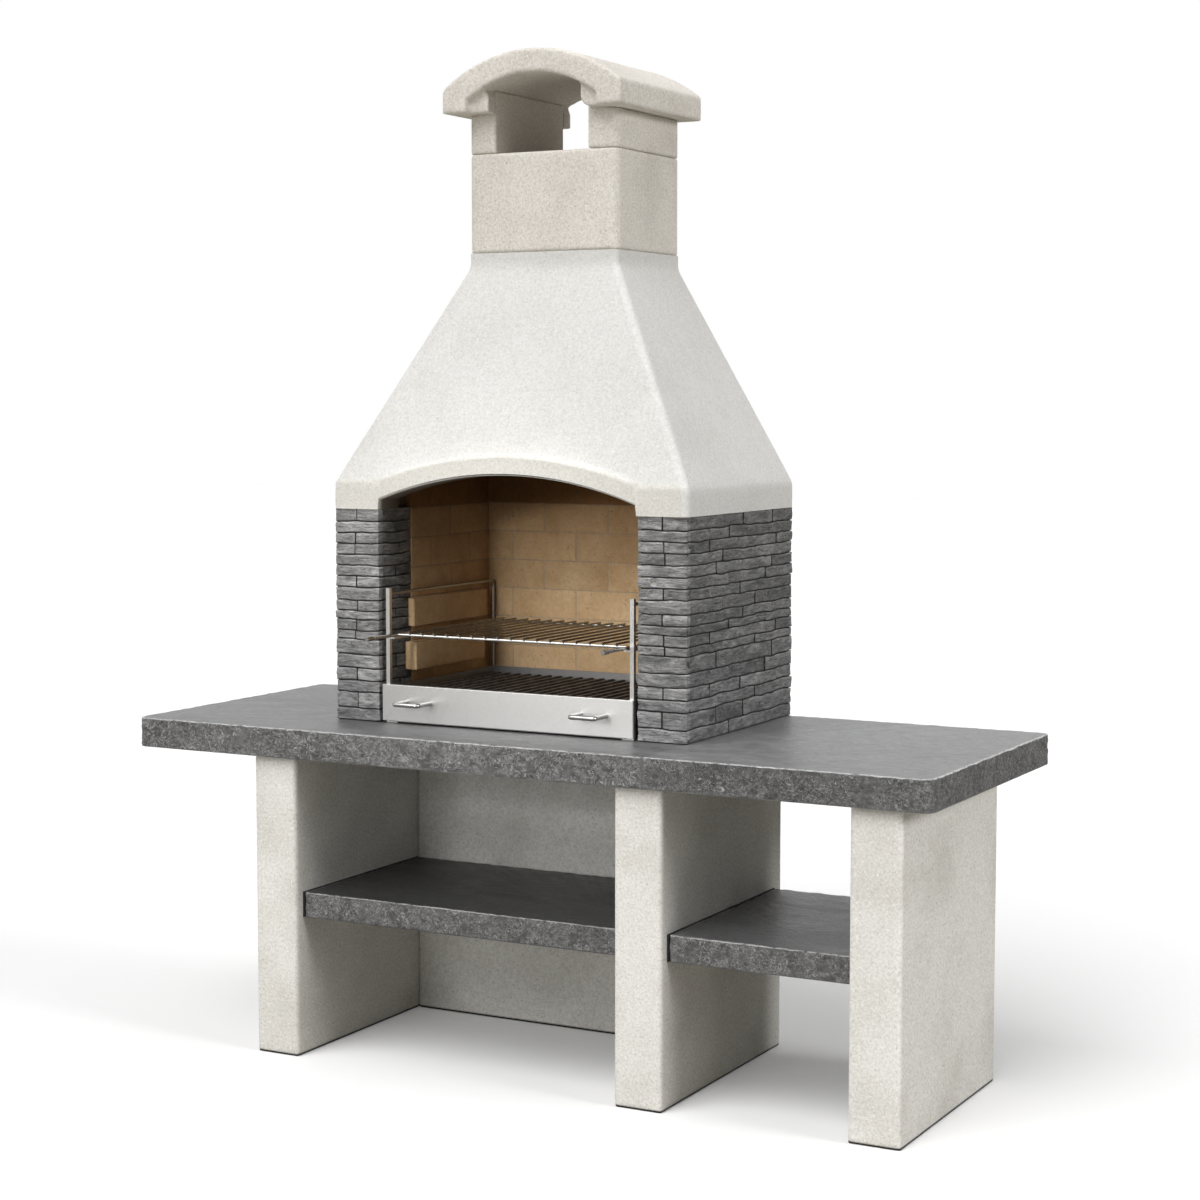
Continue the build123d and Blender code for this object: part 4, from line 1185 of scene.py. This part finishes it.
def folded_sheet(outline, low_z, high_z, thickness):
    """A sheet that stands on an outline in plan: outer and inner face, closed all round.

    The inner face is the outline moved square to itself by the thickness.
    """
    outline = np.asarray(outline, float)
    run = np.gradient(outline, axis=0)
    run /= np.linalg.norm(run, axis=1, keepdims=True)
    toward = np.column_stack([-run[:, 1], run[:, 0]])
    inner = outline + thickness * toward
    rings = []
    for z, eased in (
        (low_z, SHEET_EASE),
        (low_z + SHEET_EASE_RISE, 0),
        (high_z - SHEET_EASE_RISE, 0),
        (high_z, SHEET_EASE),
    ):
        plan = np.concatenate([outline + toward * eased, (inner - toward * eased)[::-1]])
        rings.append(np.column_stack([plan, np.full(len(plan), z)]))
    half = len(outline)
    ends = np.array([[i, i + 1, 2 * half - 2 - i, 2 * half - 1 - i] for i in range(half - 1)])
    sides = ring_quads(2 * half, [(0, 1), (1, 2), (2, 3)])
    return np.concatenate(rings), np.concatenate([sides, ends[:, ::-1], ends + 6 * half])


low, high = corners_of("tray_front_panel")
panel_y = low[1]
quarter = np.linspace(0, np.pi / 2, 6)
fall, rise = FOLD * np.cos(quarter), FOLD * np.sin(quarter)
plan = np.concatenate(
    [
        [(low[0], high[1])],
        np.column_stack([low[0] + FOLD - fall, panel_y + FOLD - rise]),
        np.column_stack([high[0] - FOLD + rise, panel_y + FOLD - fall]),
        [(high[0], high[1])],
    ]
)
lid_low = low + (*LID_CLEAR, high[2] - low[2] - SHEET)
lid_high = high - (LID_CLEAR[0], 0, 0)
lid, lid_faces, _ = worn_block(lid_low, lid_high, LID_ROUND, LID_STEPS, LID_EDGE)
sheets = [folded_sheet(plan, low[2], high[2] - LID_EDGE, SHEET), (lid, lid_faces)]
steel_piece("folded_panel", sheets, panel_steel, "stainless_sheet", "tray", "tray_front_panel")
for side in ("left", "right"):
    node = f"{side}_tray_handle"
    low, high = corners_of(node)
    radius = (high[2] - low[2]) / 2 + HANDLE_SWELL
    z = (low[2] + high[2]) / 2
    bow_y = low[1] + radius
    x_left, x_right = low[0] + radius, high[0] - radius
    bow = [(x_left, panel_y, z), (x_left, bow_y, z), (x_right, bow_y, z), (x_right, panel_y, z)]
    rods = [rod_along(bent(bow, HANDLE_BEND), radius)]
    for x in (x_left, x_right):
        rods.append(rod_along([(x, panel_y - 0.001, z), (x, high[1], z)], BOLT_RADIUS))
    steel_piece(f"{side}_bow_handle", rods, handle_steel, "bright_steel", "tray", node)

# The charcoal grate is welded from black flat bars, dulled by heat and ash.
GRATE_BLACK = (0.10, 0.092, 0.085)
GRATE_ASH = (0.26, 0.235, 0.21)
grate_finish, tree, place = new_finish("burnt_bars")
ash = shades(tree, cloud(tree, place, 35.0, 6.0, 0.7), (0.45, GRATE_BLACK), (0.75, GRATE_ASH))
painted(tree, ash, 0.55, metal=0.6)
relief(tree, (cloud(tree, place, 220.0), 0.0004, 0.4))
finish_node("charcoal_grate", grate_finish)

# The cooking grill is welded from plated rod. Two side rods run on as handles, two
# bars tie them, and the wires lie across the bars with their ends just proud.
WIRE_STEEL = (0.25, 0.24, 0.22)
WIRE_COUNT = 17
WIRE_SIDES = 10
WIRE_PROUD = 0.003
BAR_RADIUS = 0.0035
wire_steel = brushed("wire_steel", WIRE_STEEL, 0.28, (8.0, 1.0, 8.0))
bar_bright = brushed("grill_bar_steel", STEEL, 0.24, (1.0, 8.0, 8.0))
low, high = corners_of("grill_frame")
radius = (high[2] - low[2]) / 2
z = (low[2] + high[2]) / 2
x_left, x_right = low[0] + radius, high[0] - radius
rods = [rod_along([(x, low[1], z), (x, high[1], z)], radius) for x in (x_left, x_right)]
low, high = corners_of("grill_wires")
for y in (low[1] + WIRE_PROUD + BAR_RADIUS, high[1] - WIRE_PROUD - BAR_RADIUS):
    rods.append(rod_along([(x_left, y, z), (x_right, y, z)], BAR_RADIUS))
steel_piece("grill_rods", rods, bar_bright, "grill_wire", "cooking_grill", "grill_frame")
radius = (high[2] - low[2]) / 2
z = (low[2] + high[2]) / 2
wires = [
    rod_along([(x, low[1], z), (x, high[1], z)], radius, WIRE_SIDES)
    for x in np.linspace(low[0] + radius, high[0] - radius, WIRE_COUNT)
]
steel_piece(
    "grill_cross_wires", wires, wire_steel, "grill_wire", "cooking_grill", "grill_wires"
)
finish_node("grill_handle_caps", handle_steel)

# The floor is a plain pale sheet under soft studio light, and the camera stands
# where the photograph was taken from.
FLOOR_HALF = 30.0
FLOOR_SEEN = (0.93, 0.93, 0.93)
FLOOR_BOUNCE = (0.385, 0.365, 0.320)
FLOOR_LIFT = 0.09
SKY_LIGHT = 0.12
quarters = ((-1, -1), (1, -1), (1, 1), (-1, 1))
floor_mesh = bpy.data.meshes.new("floor")
floor_mesh.from_pydata(
    [(x * FLOOR_HALF, y * FLOOR_HALF, 0) for x, y in quarters], [], [(0, 1, 2, 3)]
)
floor = bpy.data.objects.new("floor", floor_mesh)
bpy.context.scene.collection.objects.link(floor)
floor_finish, tree, place = new_finish("pale_floor")
rays = tree.nodes.new("ShaderNodeLightPath").outputs
in_view = maths(tree, "MAXIMUM", rays["Is Camera Ray"], rays["Is Transmission Ray"])
painted(tree, laid_over(tree, in_view, FLOOR_BOUNCE, FLOOR_SEEN), 0.9, 0.0)
shader = tree.nodes["Principled BSDF"]
shader.inputs["Emission Color"].default_value = (1.0, 1.0, 1.0, 1.0)
feed(tree, maths(tree, "MULTIPLY", in_view, FLOOR_LIFT), shader.inputs["Emission Strength"])
floor_mesh.materials.append(floor_finish)

world = bpy.data.worlds.new("studio")
bpy.context.scene.world = world
world.use_nodes = True
tree = world.node_tree
sky = tree.nodes["Background"]
sky.inputs["Color"].default_value = (1.0, 1.0, 1.0, 1.0)
rays = tree.nodes.new("ShaderNodeLightPath").outputs
in_view = maths(tree, "MAXIMUM", rays["Is Camera Ray"], rays["Is Glossy Ray"])
in_view = maths(tree, "MAXIMUM", in_view, rays["Is Transmission Ray"])
level = tree.nodes.new("ShaderNodeMapRange")
level.inputs["To Min"].default_value = SKY_LIGHT
level.inputs["To Max"].default_value = 1.0
tree.links.new(in_view, level.inputs["Value"])
tree.links.new(level.outputs["Result"], sky.inputs["Strength"])

# Each sun: its strength, how wide it looks in degrees, and how it is turned.
STUDIO_SUNS = {
    "key": (2.30, 54.0, (41.0, 0.0, -13.0)),
    "over": (0.72, 90.0, (0.0, 0.0, 0.0)),
    "front_low": (0.46, 20.0, (81.0, 0.0, -7.0)),
    "right_fill": (1.27, 20.0, (66.0, 0.0, 88.0)),
}
# The spot lights the back of the fire chamber from in front of the mouth.
SPOT_POWER = 165.0
SPOT_CONE = 17.5
SPOT_SIZE = 0.25
SPOT_PLACE = (-0.45, -3.2, 1.72)
SPOT_TURNED = (78.3, 0.0, -5.9)
SENSOR_WIDTH = 36.0
LENS_LENGTH = 71.918
CAMERA_PLACE = (2.6944, -4.9293, 1.5536)
CAMERA_TURNED = (85.191, 0.0, 28.249)


def set_up(name, data, place, turned):
    """Set up a lamp or the camera at its place, turned by degrees about x, y and z."""
    holder = bpy.data.objects.new(name, data)
    holder.location = place
    holder.rotation_euler = np.radians(turned)
    bpy.context.scene.collection.objects.link(holder)
    return holder


for name, (strength, width, turned) in STUDIO_SUNS.items():
    lamp = bpy.data.lights.new(name, "SUN")
    lamp.energy = strength
    lamp.angle = np.radians(width)
    set_up(name, lamp, (0.0, 0.0, 0.0), turned)
spot = bpy.data.lights.new("hearth_spot", "SPOT")
spot.energy = SPOT_POWER
spot.spot_size = np.radians(SPOT_CONE)
spot.spot_blend = 1.0
spot.shadow_soft_size = SPOT_SIZE
set_up("hearth_spot", spot, SPOT_PLACE, SPOT_TURNED)

view = bpy.data.cameras.new("camera")
view.sensor_width = SENSOR_WIDTH
view.lens = LENS_LENGTH
view.clip_end = 200.0
bpy.context.scene.camera = set_up("camera", view, CAMERA_PLACE, CAMERA_TURNED)
bpy.context.scene.view_settings.view_transform = "Standard"
